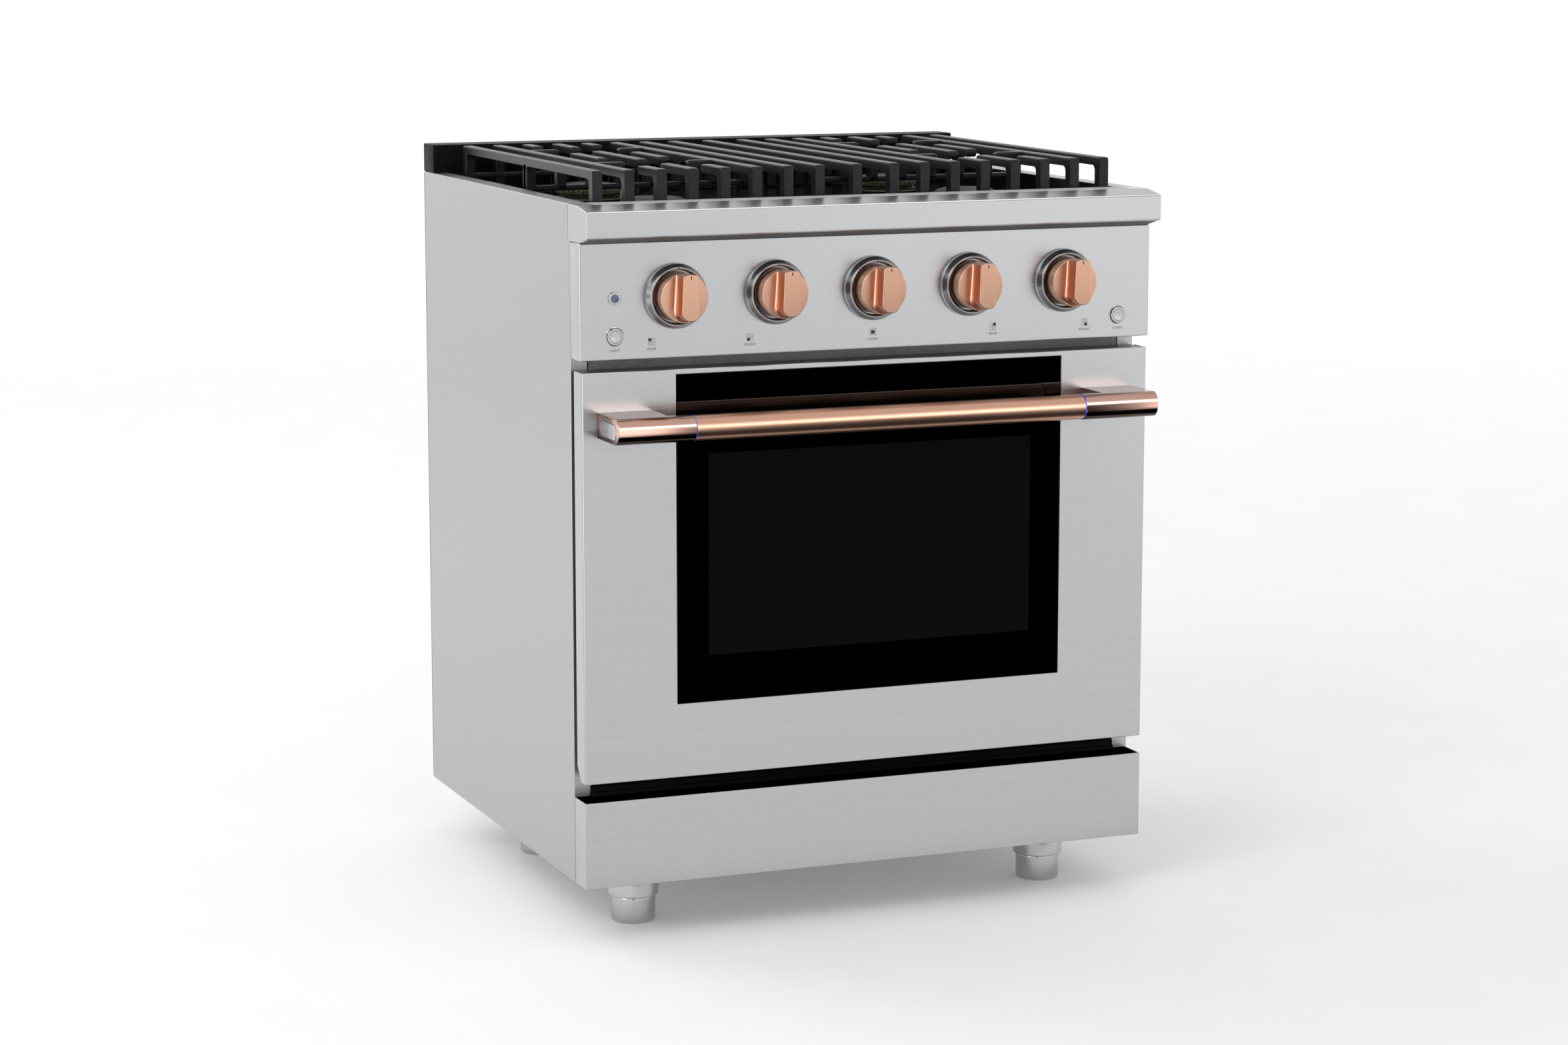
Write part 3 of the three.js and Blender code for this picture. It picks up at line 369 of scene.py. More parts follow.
def tray(low, high, axis, mouth, wall=PANEL_WALL, corner=1.6, edge=FOLD, holes=(), steps=4):
    """A folded tray, open towards mouth (1 or -1) along its axis. A profile of (inset, depth)
    runs out over the rounded edge, up the wall, over its lip and down inside."""
    k = "xyz".index(axis)
    others = [n for n in range(3) if n != k]
    (u0, v0), (u1, v1) = low[others], high[others]
    base = low[k] if mouth > 0 else high[k]
    deep = high[k] - low[k]
    cos, sin = quarter()
    lip = 0.4 * wall
    bend = 0.5
    profile = np.concatenate([
        np.stack([edge * (1 - sin), edge * (1 - cos)], 1),
        [(0, deep - lip), (lip * 0.3, deep - lip * 0.3), (lip, deep)],
        [(wall - lip, deep), (wall - lip * 0.3, deep - lip * 0.3), (wall, deep - lip)],
        np.stack([wall + bend * (1 - cos), wall + bend * (1 - sin)], 1),
    ])
    rings = [
        ring(rectangle(u0 + d, u1 - d, v0 + d, v1 - d, corner - d, steps), axis, base + mouth * h)
        for d, h in profile
    ]
    if not holes:
        return [surface(rings)]
    inner = wall + bend
    walls = [
        surface([ring(hole, axis, base), ring(hole, axis, base + mouth * wall)], caps=False)
        for hole in holes
    ]
    face = rectangle(u0 + edge, u1 - edge, v0 + edge, v1 - edge, corner - edge, steps)
    back = rectangle(u0 + inner, u1 - inner, v0 + inner, v1 - inner, corner - inner, steps)
    return [
        surface(rings, caps=False),
        holed_face(face, holes, axis, base),
        holed_face(back, holes, axis, base + mouth * wall),
        *walls,
    ]


def piece(name, body, slot, finish, parts, *nodes, sharp=38, weighted=True):
    """One finished piece in metres from parts in millimetres, riding on a body and standing for
    the given nodes. Shared corners are merged and faces turned outwards. Large faces keep their
    corners square to them by weighted normals, or, where a face is cut from many triangles and
    weighted is off, by flat shading. A part may carry a third item, one vector a corner, which
    becomes the attribute turning."""
    parts = parts if isinstance(parts, list) else [parts]
    starts = np.cumsum([0] + [len(part[0]) for part in parts[:-1]])
    corners = np.concatenate([part[0] for part in parts]) / 1000
    groups = [group + start for part, start in zip(parts, starts) for group in part[1]]
    mesh = bpy.data.meshes.new(name)
    mesh.from_pydata(corners, [], [face for group in groups for face in group.tolist()])
    smooth = np.concatenate([np.full(len(group), weighted or len(group) > 1) for group in groups])
    mesh.polygons.foreach_set("use_smooth", smooth)
    if len(parts[0]) > 2:
        turning = mesh.attributes.new("turning", "FLOAT_VECTOR", "POINT")
        turning.data.foreach_set("vector", np.concatenate([part[2] for part in parts]).ravel())
    work = bmesh.new()
    work.from_mesh(mesh)
    bmesh.ops.remove_doubles(work, verts=work.verts, dist=2e-6)
    bmesh.ops.dissolve_degenerate(work, dist=1e-6, edges=work.edges)
    bmesh.ops.recalc_face_normals(work, faces=work.faces)
    work.to_mesh(mesh)
    work.free()
    smooth = np.empty(len(mesh.polygons), bool)
    mesh.polygons.foreach_get("use_smooth", smooth)
    mesh.set_sharp_from_angle(angle=math.radians(sharp))
    mesh.polygons.foreach_set("use_smooth", smooth)
    mesh.materials.append(finish)
    made = bpy.data.objects.new(name, mesh)
    bpy.context.scene.collection.objects.link(made)
    if weighted:
        flatter = made.modifiers.new("flat_faces", "WEIGHTED_NORMAL")
        flatter.keep_sharp = True
        flatter.weight = 80
    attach(made, body)
    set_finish(made, slot)
    if nodes:
        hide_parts(*nodes)
    return made


def combine(tree, operation, first, second):
    """The sum or product of two sockets."""
    made = wire(tree, "ShaderNodeMath", operation=operation)
    tree.links.new(first, made.inputs[0])
    tree.links.new(second, made.inputs[1])
    return made.outputs[0]


def bumped(tree, shader, height, strength, distance):
    """Presses height into the shader's normal, at most distance metres deep."""
    bump = wire(tree, "ShaderNodeBump", Strength=strength, Distance=distance, Height=height)
    tree.links.new(bump.outputs[0], shader.inputs["Normal"])


BRUSH_DEPTH = 0.00003


def brushed(name, colour, roughness, grain, uneven=0.05, groove=0.25, attribute=None, turn=(0, 0, 0)):
    """Brushed metal. Fine and broad noise, both stretched along the brush lines, vary its colour
    and roughness, and press fine grooves into it. grain is repeats a metre along x, y and z, or
    along the three parts of the attribute turning where the lines go round."""
    made, tree, shader = blank_material(name)
    if attribute:
        spot = wire(tree, "ShaderNodeAttribute", attribute_name=attribute).outputs["Vector"]
    else:
        spot = wire(tree, "ShaderNodeTexCoord").outputs["Object"]
    layers = []
    for share, detail in ((1.0, 2.0), (0.16, 3.0)):
        mapped = wire(
            tree, "ShaderNodeMapping", Vector=spot, Rotation=turn, Scale=tuple(share * g for g in grain),
        )
        noise = wire(tree, "ShaderNodeTexNoise", Vector=mapped.outputs[0], Scale=1.0, Detail=detail)
        layers.append(noise.outputs["Fac"])
    lines = spread(tree, combine(tree, "ADD", *layers), 0, 1, 0.7, 1.3)
    tint = shade(tree, lines, scaled(colour, 1 - uneven), scaled(colour, 1 + uneven))
    tree.links.new(tint, shader.inputs["Base Color"])
    shader.inputs["Metallic"].default_value = 1.0
    rough = spread(tree, lines, roughness - 0.04, roughness + 0.06, 0, 1)
    tree.links.new(rough, shader.inputs["Roughness"])
    bumped(tree, shader, layers[0], groove, BRUSH_DEPTH)
    return made


ALONG_X = (3.5, 2400, 2400)
ALONG_Y = (2400, 3.5, 2400)
ALONG_Z = (2400, 2400, 3.5)
# Painted shade: the sides take the front's steel colour darkened to 0.93 of it, so they show darker than
# the front.
shaded_side_steel = brushed("shaded_side_steel", scaled(STEEL, 0.93), 0.36, ALONG_Y, 0.035, 0.15)
for hand, inward in (("left", 1), ("right", -1)):
    low, high = span(f"{hand}_side_panel")
    piece(
        f"side_skin_{hand}", "cabinet", "brushed_steel", shaded_side_steel,
        tray(low, high, "x", inward), f"{hand}_side_panel",
    )

# ------------------------------------------------------------------ back and base
# The back is a galvanised sheet with rows of pressed louvres, marked for the gas pipe's hole and
# held by screws round its edge. The base pan closes the cabinet below.
ZINC = (0.5, 0.51, 0.52)
LOUVRE_PITCH = 26.0
LOUVRE_LENGTH = 150.0
LOUVRE_DEPTH = 4.5
LOUVRE_ROWS = 9
GAS_HOLE = 16.0


def speckled(name, dark, light, metallic, roughness, scale, bump_depth=0.0001):
    """A finish with soft blotches: noise between two colours, with a matching small bump."""
    made, tree, shader = blank_material(name)
    blotch = object_noise(tree, (scale,) * 3, 4.0, 0.6)
    tree.links.new(shade(tree, spread(tree, blotch, 0, 1), dark, light), shader.inputs["Base Color"])
    shader.inputs["Metallic"].default_value = metallic
    rough = spread(tree, blotch, roughness - 0.05, roughness + 0.08)
    tree.links.new(rough, shader.inputs["Roughness"])
    bumped(tree, shader, blotch, 0.3, bump_depth)
    return made


def circle(u, v, radius, sides=24):
    angle = np.arange(sides) * 2 * math.pi / sides
    return np.stack([u + radius * np.cos(angle), v + radius * np.sin(angle)], 1)


def turned(profile, axis, centre, start, way=1, sides=64, teeth=None):
    """A turned shape: circles of radius r at heights h, going way (1 or -1) along the axis from
    start. teeth(angle, h) may add to the radius. Each corner also gets the vector (cosine, sine,
    length along the profile in metres), which turned finishes follow."""
    radius, level = np.asarray(profile, float).T
    angle = np.arange(sides) * 2 * math.pi / sides
    reach = np.repeat(radius[:, None], sides, 1)
    if teeth is not None:
        reach = reach + teeth(angle[None], level[:, None])
    u = centre[0] + reach * np.cos(angle)
    v = centre[1] + reach * np.sin(angle)
    w = start + way * np.repeat(level[:, None], sides, 1)
    rings = np.stack({"x": (w, u, v), "y": (u, w, v), "z": (u, v, w)}[axis], -1)
    run = np.concatenate([[0], np.cumsum(np.hypot(np.diff(radius), np.diff(level)))]) / 1000
    turning = np.stack(np.broadcast_arrays(np.cos(angle), np.sin(angle), run[:, None]), -1)
    corners, faces = surface(rings)
    return corners, faces, turning.reshape(-1, 3)


def arc_profile(radius, level, size, start, stop, steps=5):
    """Points (radius, height) on an arc of a turned profile; angles in degrees from outwards."""
    angle = np.radians(np.linspace(start, stop, steps + 1))
    return [(radius + size * math.cos(a), level + size * math.sin(a)) for a in angle]


zinc = speckled("zinc_sheet", scaled(ZINC, 0.85), scaled(ZINC, 1.15), 1.0, 0.42, 70)
low, high = span("back_panel")
pipe_low, pipe_high = span("gas_inlet")
gas = circle((pipe_low[0] + pipe_high[0]) / 2, (pipe_low[2] + pipe_high[2]) / 2, GAS_HOLE)
outline = rectangle(low[0], high[0], low[2], high[2], 3)
piece(
    "back_sheet", "cabinet", "galvanised_steel", zinc, sheet(outline, [gas], "y", low[1], high[1] - 0.3),
    "back_panel", weighted=False,
)


def louvre(x, z, face):
    """A pressed louvre: a long hood whose depth is a half sine across and fades at both ends."""
    along = np.linspace(-1, 1, 25)
    across = np.linspace(0, 1, 7)
    a, c = np.meshgrid(along, across, indexing="ij")
    depth = LOUVRE_DEPTH * np.sin(math.pi * c * 0.8) * np.sqrt(np.clip(1 - a**6, 0, 1))
    front = np.stack([x + a * LOUVRE_LENGTH / 2, face + depth, z + 6 - 12 * c], -1)
    rings = np.concatenate([front, (front * (1, 0, 1) + (0, face - 0.2, 0))[:, ::-1]], 1)
    return surface(rings)


louvres = [
    louvre(x, z, high[1] - 0.4)
    for x in (-190, 0, 190) for z in 560 + LOUVRE_PITCH * np.arange(LOUVRE_ROWS)
]
piece("back_louvres", "cabinet", "galvanised_steel", zinc, louvres, sharp=50)

SCREW_HEAD = [(0.3, 1.7), (1.5, 1.75), (2.6, 1.5), (3.4, 0.9), (3.7, 0.2), (3.7, -0.6)]
screw_finish = speckled("screw_zinc", (0.42, 0.42, 0.43), (0.62, 0.62, 0.63), 1.0, 0.3, 900)
places = [(x, z) for x in (-368, 368) for z in (95, 290, 490, 690, 892)]
places += [(x, z) for x in (-180, 0, 180) for z in (84, 897)]
back_screws = [turned(SCREW_HEAD, "y", place, high[1] - 0.3, 1, 20) for place in places]
piece("back_screws", "cabinet", "galvanised_steel", screw_finish, back_screws)


def dress(finish, *nodes):
    """Frame nodes that show as they are, in a finish."""
    for node in nodes:
        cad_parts[node].data.materials.clear()
        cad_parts[node].data.materials.append(finish)


dress(zinc, "base_pan", "gas_inlet", "convection_fan")

# ------------------------------------------------------------------ front frame
# Behind the door is a black-painted steel plate, marked with the oven's mouth, with a step along
# its foot and a woven seal round the mouth. One screw shows in the gap under the door.
STEP_HALF = 357.2
STEP_TOP = 191.0
STEP_FRONT = 184.0
BAND_LOW, BAND_HIGH = 193.0, 199.0
HEADER_LOW = 706.0
SEAL_RADIUS = 2.3
black_paint = speckled("black_paint", (0.003, 0.003, 0.0035), (0.008, 0.008, 0.009), 0.0, 0.4, 160, 0.00005)
black_paint.node_tree.nodes["Principled BSDF"].inputs["Specular IOR Level"].default_value = 0.05
low, high = span("front_frame")
cavity_low, cavity_high = span("oven_cavity")
mouth = rectangle(cavity_low[0] + 2, cavity_high[0] - 2, cavity_low[2] + 2, cavity_high[2] - 2, 6)
frame_face = high[1] - 2
frame_parts = sheet(rectangle(low[0], high[0], low[2], high[2], 3), [mouth], "y", frame_face, high[1])
step_back = low[1] + 3
step_outline = rounded(
    [
        (low[1], low[2]), (frame_face, low[2]), (frame_face, STEP_TOP), (step_back, STEP_TOP),
        (step_back, STEP_FRONT), (low[1], STEP_FRONT),
    ],
    [0.5, 0.2, 0.2, 1.2, 0.8, 1.2], 3,
)
frame_parts.append(prism(step_outline, "x", -STEP_HALF, STEP_HALF, 0.6))
band_outline = rectangle(frame_face - 1.6, frame_face, BAND_LOW, BAND_HIGH, 0.5, 3)
frame_parts.append(prism(band_outline, "x", -357, 357, 0.4))
piece(
    "front_frame_plate", "cabinet", "black_sheet", black_paint, frame_parts, "front_frame",
    weighted=False,
)
piece(
    "frame_screw", "cabinet", "galvanised_steel", screw_finish,
    turned(SCREW_HEAD, "y", (-14, 196), frame_face - 1.6, -1, 20),
)


def tube(path, radius, closed=False, sides=12):
    """A round wire along a path: circles square to the path, whose own tangent is the step from
    the point before to the point after."""
    path = np.asarray(path, float)
    if closed:
        tangent = np.roll(path, -1, 0) - np.roll(path, 1, 0)
    else:
        tangent = np.gradient(path, axis=0)
    tangent /= np.linalg.norm(tangent, axis=1, keepdims=True)
    spare = np.where(np.abs(tangent[:, 1:2]) < 0.99, np.array([[0, 1.0, 0]]), np.array([[1.0, 0, 0]]))
    if np.ptp(path[:, 2]) < 1e-6:
        spare = np.array([[0, 0, 1.0]])
    side = np.cross(tangent, spare)
    side /= np.linalg.norm(side, axis=1, keepdims=True)
    other = np.cross(tangent, side)
    angle = np.arange(sides) * 2 * math.pi / sides
    rings = path[:, None] + radius * (
        np.cos(angle)[None, :, None] * side[:, None] + np.sin(angle)[None, :, None] * other[:, None]
    )
    return surface(rings, closed=closed)


# A grey steel header closes the frame above the oven's mouth, behind the gap over the door.
header_finish = speckled("header_steel", (0.18, 0.18, 0.185), (0.27, 0.27, 0.275), 0.0, 0.4, 90, 0.00005)
header = rectangle(frame_face - 3, frame_face - 0.1, HEADER_LOW, high[2] + 2.2, 1.2, 4)
piece("frame_header", "cabinet", "galvanised_steel", header_finish, prism(header, "x", -356, 356, 0.5))

seal_finish, tree, shader = blank_material("oven_seal")
weave = object_noise(tree, (260, 260, 260), 3.0)
fibre = shade(tree, spread(tree, weave, 0, 1), (0.05, 0.05, 0.055), (0.14, 0.14, 0.145))
tree.links.new(fibre, shader.inputs["Base Color"])
shader.inputs["Roughness"].default_value = 0.85
bumped(tree, shader, weave, 0.8, 0.0006)
seal_outline = rectangle(
    cavity_low[0] - 5, cavity_high[0] + 5, cavity_low[2] - 5, cavity_high[2] + 5, 24, 8,
)
seal_path = ring(seal_outline, "y", frame_face - SEAL_RADIUS)
piece("oven_seal", "cabinet", "black_sheet", seal_finish, tube(seal_path, SEAL_RADIUS, True))

# ------------------------------------------------------------------ kick panel
# The kick panel is a folded steel sheet under the door: a face, two side returns and a floor.
# Its brush lines run across.
front_steel = brushed("front_steel", STEEL, 0.26, ALONG_X, 0.035, 0.12)
low, high = span("kick_panel")
wall = PANEL_WALL
kick_outline = rounded(
    [
        (low[0], low[1]), (high[0], low[1]), (high[0], high[1]), (high[0] - wall, high[1]),
        (high[0] - wall, low[1] + wall), (low[0] + wall, low[1] + wall),
        (low[0] + wall, high[1]), (low[0], high[1]),
    ],
    [1.8, 1.8, 0.6, 0.6, 0.5, 0.5, 0.6, 0.6], 4,
)
kick_floor = rectangle(low[0] + 1, high[0] - 1, low[1] + 1, high[1] - 0.5, 1, 3)
kick_parts = [
    prism(kick_outline, "z", low[2], high[2], 0.7),
    prism(kick_floor, "z", low[2] + 0.1, low[2] + wall, 0.4),
]
piece("kick_face", "cabinet", "brushed_steel", front_steel, kick_parts, "kick_panel")

# ------------------------------------------------------------------ front rail
# The rail is folded from one sheet: a ledge that falls to a square nose and tucks back under to
# the control panel. The ledge in front of the grates has a duller finish.
low, high = span("top_rail")
panel_low, panel_high = span("control_panel")
face = panel_low[1]
top = high[2]
seam = span("left_side_panel")[0][1]
rail_outline = rounded(
    [
        (seam - 0.3, top), (face + 6, top), (low[1], top - 5.5), (low[1], top - 37.5), (face, low[2]),
        (seam - 0.3, low[2]),
    ],
    [0.5, 14, 2.6, 2.6, 1.5, 0.5], 6,
)
ledge = rectangle(low[0] + 23.8, high[0] - 23.8, face + 10, high[1], 0.6, 3)
rail = prism(rail_outline, "x", low[0], high[0], 1.3)
piece("front_rail", "cabinet", "brushed_steel", front_steel, rail, "top_rail")
ledge_steel = brushed("ledge_steel", STEEL, 0.7, ALONG_X, 0.035, 0.15)
piece("rail_ledge", "cabinet", "brushed_steel", ledge_steel, prism(ledge, "z", top - 2, top + 0.15, 0.4))

# A dark strip under the rail's nose, above the control panel, is painted shade for the shadowed fold there.
shade_strip_finish = speckled("painted_shade_strip", (0.07, 0.07, 0.07), (0.11, 0.11, 0.11), 0.0, 0.6, 400, 0.00005)
strip_front, strip_back = low[1] + 3, face - 0.6
strip_outline = rounded(
    [
        (strip_front, top - 38.4), (strip_back, low[2] - 0.4), (strip_back, low[2] + 1.5),
        (strip_front, top - 36),
    ],
    0.2, 2,
)
strip = prism(strip_outline, "x", low[0] + 4, high[0] - 4, 0.2)
piece("rail_shade_strip", "cabinet", "black_sheet", shade_strip_finish, strip)

# ------------------------------------------------------------------ control panel
# The control panel is a folded steel tray, marked for five stems, two buttons and a lamp. Small
# dark marks under the controls are printed on it.
KNOBS = ("rear_left", "front_left", "oven", "rear_right", "front_right")


def middle(node):
    """The middle of a node's box, in millimetres."""
    low, high = span(node)
    return (low + high) / 2


cuts = [circle(middle(f"knob_bezel_{k}")[0], middle(f"knob_bezel_{k}")[2], 6, 20) for k in KNOBS]
cuts += [circle(middle(b)[0], middle(b)[2], 11, 32) for b in ("light_button", "convection_button")]
cuts.append(circle(middle("indicator_lamp")[0], middle("indicator_lamp")[2], 5, 20))
piece(
    "control_face", "cabinet", "brushed_steel", front_steel,
    tray(panel_low, panel_high, "y", 1, holes=cuts, corner=2.0), "control_panel", weighted=False,
)

PRINT_PROUD = 0.06


def word(text, x, z, size):
    """A word as thin raised ink, centred on (x, z) on the panel's face."""
    data = bpy.data.curves.new("word", "FONT")
    data.body = text
    data.size = size
    data.align_x, data.align_y = "CENTER", "CENTER"
    data.extrude = PRINT_PROUD
    data.space_character = 1.08
    holder = bpy.data.objects.new("word", data)
    bpy.context.scene.collection.objects.link(holder)
    bpy.context.view_layer.update()
    mesh = holder.evaluated_get(bpy.context.evaluated_depsgraph_get()).to_mesh()
    co = np.empty(len(mesh.vertices) * 3)
    mesh.vertices.foreach_get("co", co)
    u, v, w = co.reshape(-1, 3).T
    faces = [np.array(polygon.vertices[:])[None] for polygon in mesh.polygons]
    bpy.data.objects.remove(holder)
    return np.stack([x + u, face - w, z + v], 1), faces


def block(x0, x1, z0, z1):
    """A thin printed rectangle on the panel's face."""
    return prism(rectangle(x0, x1, z0, z1, 0.2, 2), "y", face - PRINT_PROUD, face + 0.2, 0.02, 1)


def frame_of(x, z, half, line):
    """A printed square outline, as four strips."""
    left, right, bottom, top = x - half, x + half, z - half, z + half
    return [
        block(left, right, top - line, top), block(left, right, bottom, bottom + line),
        block(left, left + line, bottom, top), block(right - line, right, bottom, top),
    ]


def burner_icon(x, z, filled):
    """Four small squares, one for each burner, with this knob's own burner filled in."""
    parts = []
    for k, (du, dv) in enumerate(((-1, 1), (1, 1), (-1, -1), (1, -1))):
        cx, cz = x + 2.2 * du, z + 2.4 * dv
        parts += frame_of(cx, cz, 1.95, 0.36)
        if k == filled:
            parts.append(block(cx - 1.8, cx + 1.8, cz - 1.8, cz + 1.8))
    return parts


ink = mottled("printed_ink", (3000,) * 3, (0.02, 0.02, 0.022), (0.045, 0.045, 0.048), 0.55)[0]
WORD_Z = 733.7
WORD_SIZE = 4.5
ICON_Z = WORD_Z + 9
BURNER_MARKS = (("REAR", -289.6, 0), ("FRONT", -162.3, 2), ("REAR", 163.2, 1), ("FRONT", 290, 3))
words = [("LIGHT", -336.5), ("OVEN", 0), ("CONV", 337)] + [(text, x) for text, x, _ in BURNER_MARKS]
marks = [word(text, x, WORD_Z, WORD_SIZE) for text, x in words]
for _, x, filled in BURNER_MARKS:
    marks += burner_icon(x, ICON_Z, filled)
marks += frame_of(0, ICON_Z, 4.1, 0.4) + [block(-2.6, 2.6, WORD_Z + 6.4, WORD_Z + 11)]
piece("panel_marks", "cabinet", "black_sheet", ink, marks, weighted=False)

# ------------------------------------------------------------------ knob bezels
# Each knob turns in a spun steel ring: a thin base, a groove, a cone that rises to a bright
# rounded lip, and a recess. A short mark on the lip shows the off position.
bezel_steel = brushed("spun_steel", (0.34, 0.342, 0.346), 0.2, (1.5, 1.5, 2600), 0.08, 0.2, "turning")
BEZEL_LIP = 14.0
BEZEL = (
    [(38.0, 0.0), (39.3, 0.1), (39.5, 0.4), (39.5, 2.0), (39.2, 2.3), (38.3, 2.4), (37.9, 2.8)]
    + [(37.9, 5.4), (38.3, 5.8), (39.0, 5.9), (39.3, 6.2), (39.2, 6.8), (36.5, BEZEL_LIP - 2.6)]
    + arc_profile(34.5, BEZEL_LIP - 1.7, 1.7, 10, 165, 8)
    + [(32.7, BEZEL_LIP - 3), (32.3, 4.8), (31.8, 4.2), (26.0, 4.0), (18.0, 4.0)]
)
bezel_back = span("knob_bezel_oven")[1][1]
KNOB_Z = 797.0
for knob in KNOBS:
    spot = middle(f"knob_bezel_{knob}")
    ring_part = turned(BEZEL, "y", (spot[0], spot[2]), bezel_back, -1, 72)
    piece(
        f"bezel_{knob}", "cabinet", "brushed_steel", bezel_steel, ring_part, f"knob_bezel_{knob}",
        sharp=44,
    )
ticks = []
for knob in KNOBS:
    x = middle(f"knob_bezel_{knob}")[0]
    tick = rectangle(x - 0.4, x + 0.4, KNOB_Z + 33.2, KNOB_Z + 36.4, 0.2, 2)
    ticks.append(prism(tick, "y", bezel_back - BEZEL_LIP - 0.1, bezel_back - 12, 0.1))
piece("bezel_marks", "cabinet", "black_sheet", ink, ticks)

# ------------------------------------------------------------------ knobs
# A knob is machined metal plated rose gold: a drum with a grip across it. The grip's foot
# sweeps into the drum's face, its walls are painted a deeper copper as painted shade, its face
# is brushed up and down, and a dark line marks its top.
COPPER = (0.80, 0.47, 0.33)
copper_face = brushed("copper_face", COPPER, 0.26, ALONG_Z, 0.06, 0.3)
# Painted shade: the grip's walls are the same plating as its face, given this darker copper for the shade
# they show.
SHADED_WALL_COPPER = (0.52, 0.20, 0.12)
walls = wire(copper_face.node_tree, "ShaderNodeAttribute", attribute_name="turning").outputs["Vector"]
share = wire(copper_face.node_tree, "ShaderNodeSeparateXYZ", Vector=walls).outputs["X"]
socket = copper_face.node_tree.nodes["Principled BSDF"].inputs["Base Color"]
wall_shade_mix = wire(copper_face.node_tree, "ShaderNodeMix", data_type="RGBA")
copper_face.node_tree.links.new(share, wall_shade_mix.inputs[0])
copper_face.node_tree.links.new(socket.links[0].from_socket, wall_shade_mix.inputs[6])
wall_shade_mix.inputs[7].default_value = (*SHADED_WALL_COPPER, 1)
copper_face.node_tree.links.new(wall_shade_mix.outputs[2], socket)
DRUM_HEIGHT = 26.7
KNOB_BACK = 8.0
GRIP_HEIGHT = 23.1
DRUM = (
    [(4.0, 0.0), (28.8, 0.0)] + arc_profile(29.0, 1.0, 1.0, -80, 0, 3)
    + [(30.0, 10.0)] + arc_profile(29.2, DRUM_HEIGHT - 0.8, 0.8, 0, 85, 4)
    + [(20.0, DRUM_HEIGHT), (8.0, DRUM_HEIGHT)]
)
GRIP_REACH = 29.8
GRIP_FOOT = 3.4
GRIP_EDGE = 0.9


def grip(x, z, front):
    """The grip's outline is a circle's top and two rounded lower corners. From the drum's face
    forward it is drawn in along a concave arc, goes straight, and is rounded over at its front.
    Its third item is 1 on the polished walls, where it paints shade, and 0 on the brushed front."""
    top_angle = np.radians(np.linspace(66.4, 113.6, 13))
    top_arc = GRIP_REACH * np.stack([np.cos(top_angle), np.sin(top_angle)], 1)
    lower = rounded([top_arc[-1], (-11.9, -25.9), (11.9, -25.9), top_arc[0]], [0.01, 11.0, 11.0, 0.01], 9)
    outline = np.concatenate([top_arc[1:-1], lower[10:30]])
    cos, sin = quarter(6)
    foot = [(-GRIP_FOOT * (1 - s), GRIP_FOOT * (1 - c)) for c, s in zip(cos, sin)]
    cos, sin = quarter(4)
    nose = [(GRIP_EDGE * (1 - s), GRIP_HEIGHT - GRIP_EDGE * (1 - c)) for c, s in zip(cos, sin)][::-1]
    rings = []
    for inward, level in foot + nose:
        line = inset(outline, inward)
        reach = np.linalg.norm(line, axis=1, keepdims=True)
        line = line * np.minimum(1, GRIP_REACH / reach) + (x, z)
        rings.append(ring(line, "y", front - level))
    corners, faces = surface(rings)
    wall_shade_share = np.interp(np.arange(len(rings)), [3, 7, len(nose) + 3, len(rings) - 2], [0, 1, 1, 0])
    return corners, faces, np.repeat(wall_shade_share, len(outline))[:, None] * (1, 0, 0)


for knob in KNOBS:
    spot = middle(f"knob_{knob}")
    x, z = spot[0], middle(f"knob_bezel_{knob}")[2]
    drum_back = face - KNOB_BACK
    drum = turned(DRUM, "y", (x, z), drum_back, -1, 72)[:2]
    parts = [(*drum, 0 * drum[0]), grip(x, z, drum_back - DRUM_HEIGHT + 0.1)]
    body = "oven_knob" if knob == "oven" else f"{knob}_knob"
    piece(f"control_knob_{knob}", body, "rose_gold", copper_face, parts, f"knob_{knob}", sharp=50)
    tip = drum_back - DRUM_HEIGHT - GRIP_HEIGHT + 0.1
    line = prism(rectangle(x - 0.7, x + 0.7, z + 24.4, z + 28.8, 0.3, 2), "y", tip - 0.12, tip + 1, 0.1)
    piece(f"knob_line_{knob}", body, "black_sheet", ink, line)
dress(zinc, *(f"valve_stem_{knob}" for knob in KNOBS if knob != "oven"))

# ------------------------------------------------------------------ buttons and lamp
# Two push buttons of spun steel in shallow rings, for the light and the convection fan, and a
# small indicator lamp with a blue-grey lens.
button_steel = brushed("button_steel", (0.50, 0.50, 0.505), 0.2, (1.0, 1.0, 1500), 0.05, 0.12, "turning")
CAP = (
    [(9.9, -3.0), (10.2, 0.4)] + arc_profile(9.4, 2.7, 0.8, 0, 90, 5)
    + [(8.3, 3.5), (8.1, 3.2), (7.9, 2.7), (7.5, 2.6), (7.2, 2.9), (6.9, 3.3), (6.4, 3.4)]
    + [(4.5, 3.1), (2.5, 2.7), (0.8, 2.3), (0.3, 2.25)]
)
COLLAR = [(10.3, 0.0), (10.7, 0.0), (11.7, 0.0), (11.6, 0.5), (11.0, 0.9), (10.6, 0.7), (10.3, 0.1)]
collars = []
for button in ("light_button", "convection_button"):
    spot = middle(button)
    cap = turned(CAP, "y", (spot[0], spot[2]), face, -1, 48)
    piece(f"{button}_cap", f"{button}_cap", "brushed_steel", button_steel, cap, button)
    made = turned(COLLAR, "y", (spot[0], spot[2]), face, -1, 48)
    collars.append((made[0], made[1][:1], made[2]))
piece("button_collars", "cabinet", "polished_steel", button_steel, collars)
lamp_spot = middle("indicator_lamp")
LAMP_RING = (
    [(3.8, 0.2), (8.0, 0.2)] + arc_profile(7.0, 1.4, 1.0, 0, 90, 4)
    + [(5.4, 2.5), (5.0, 1.6), (4.4, 1.4)]
)
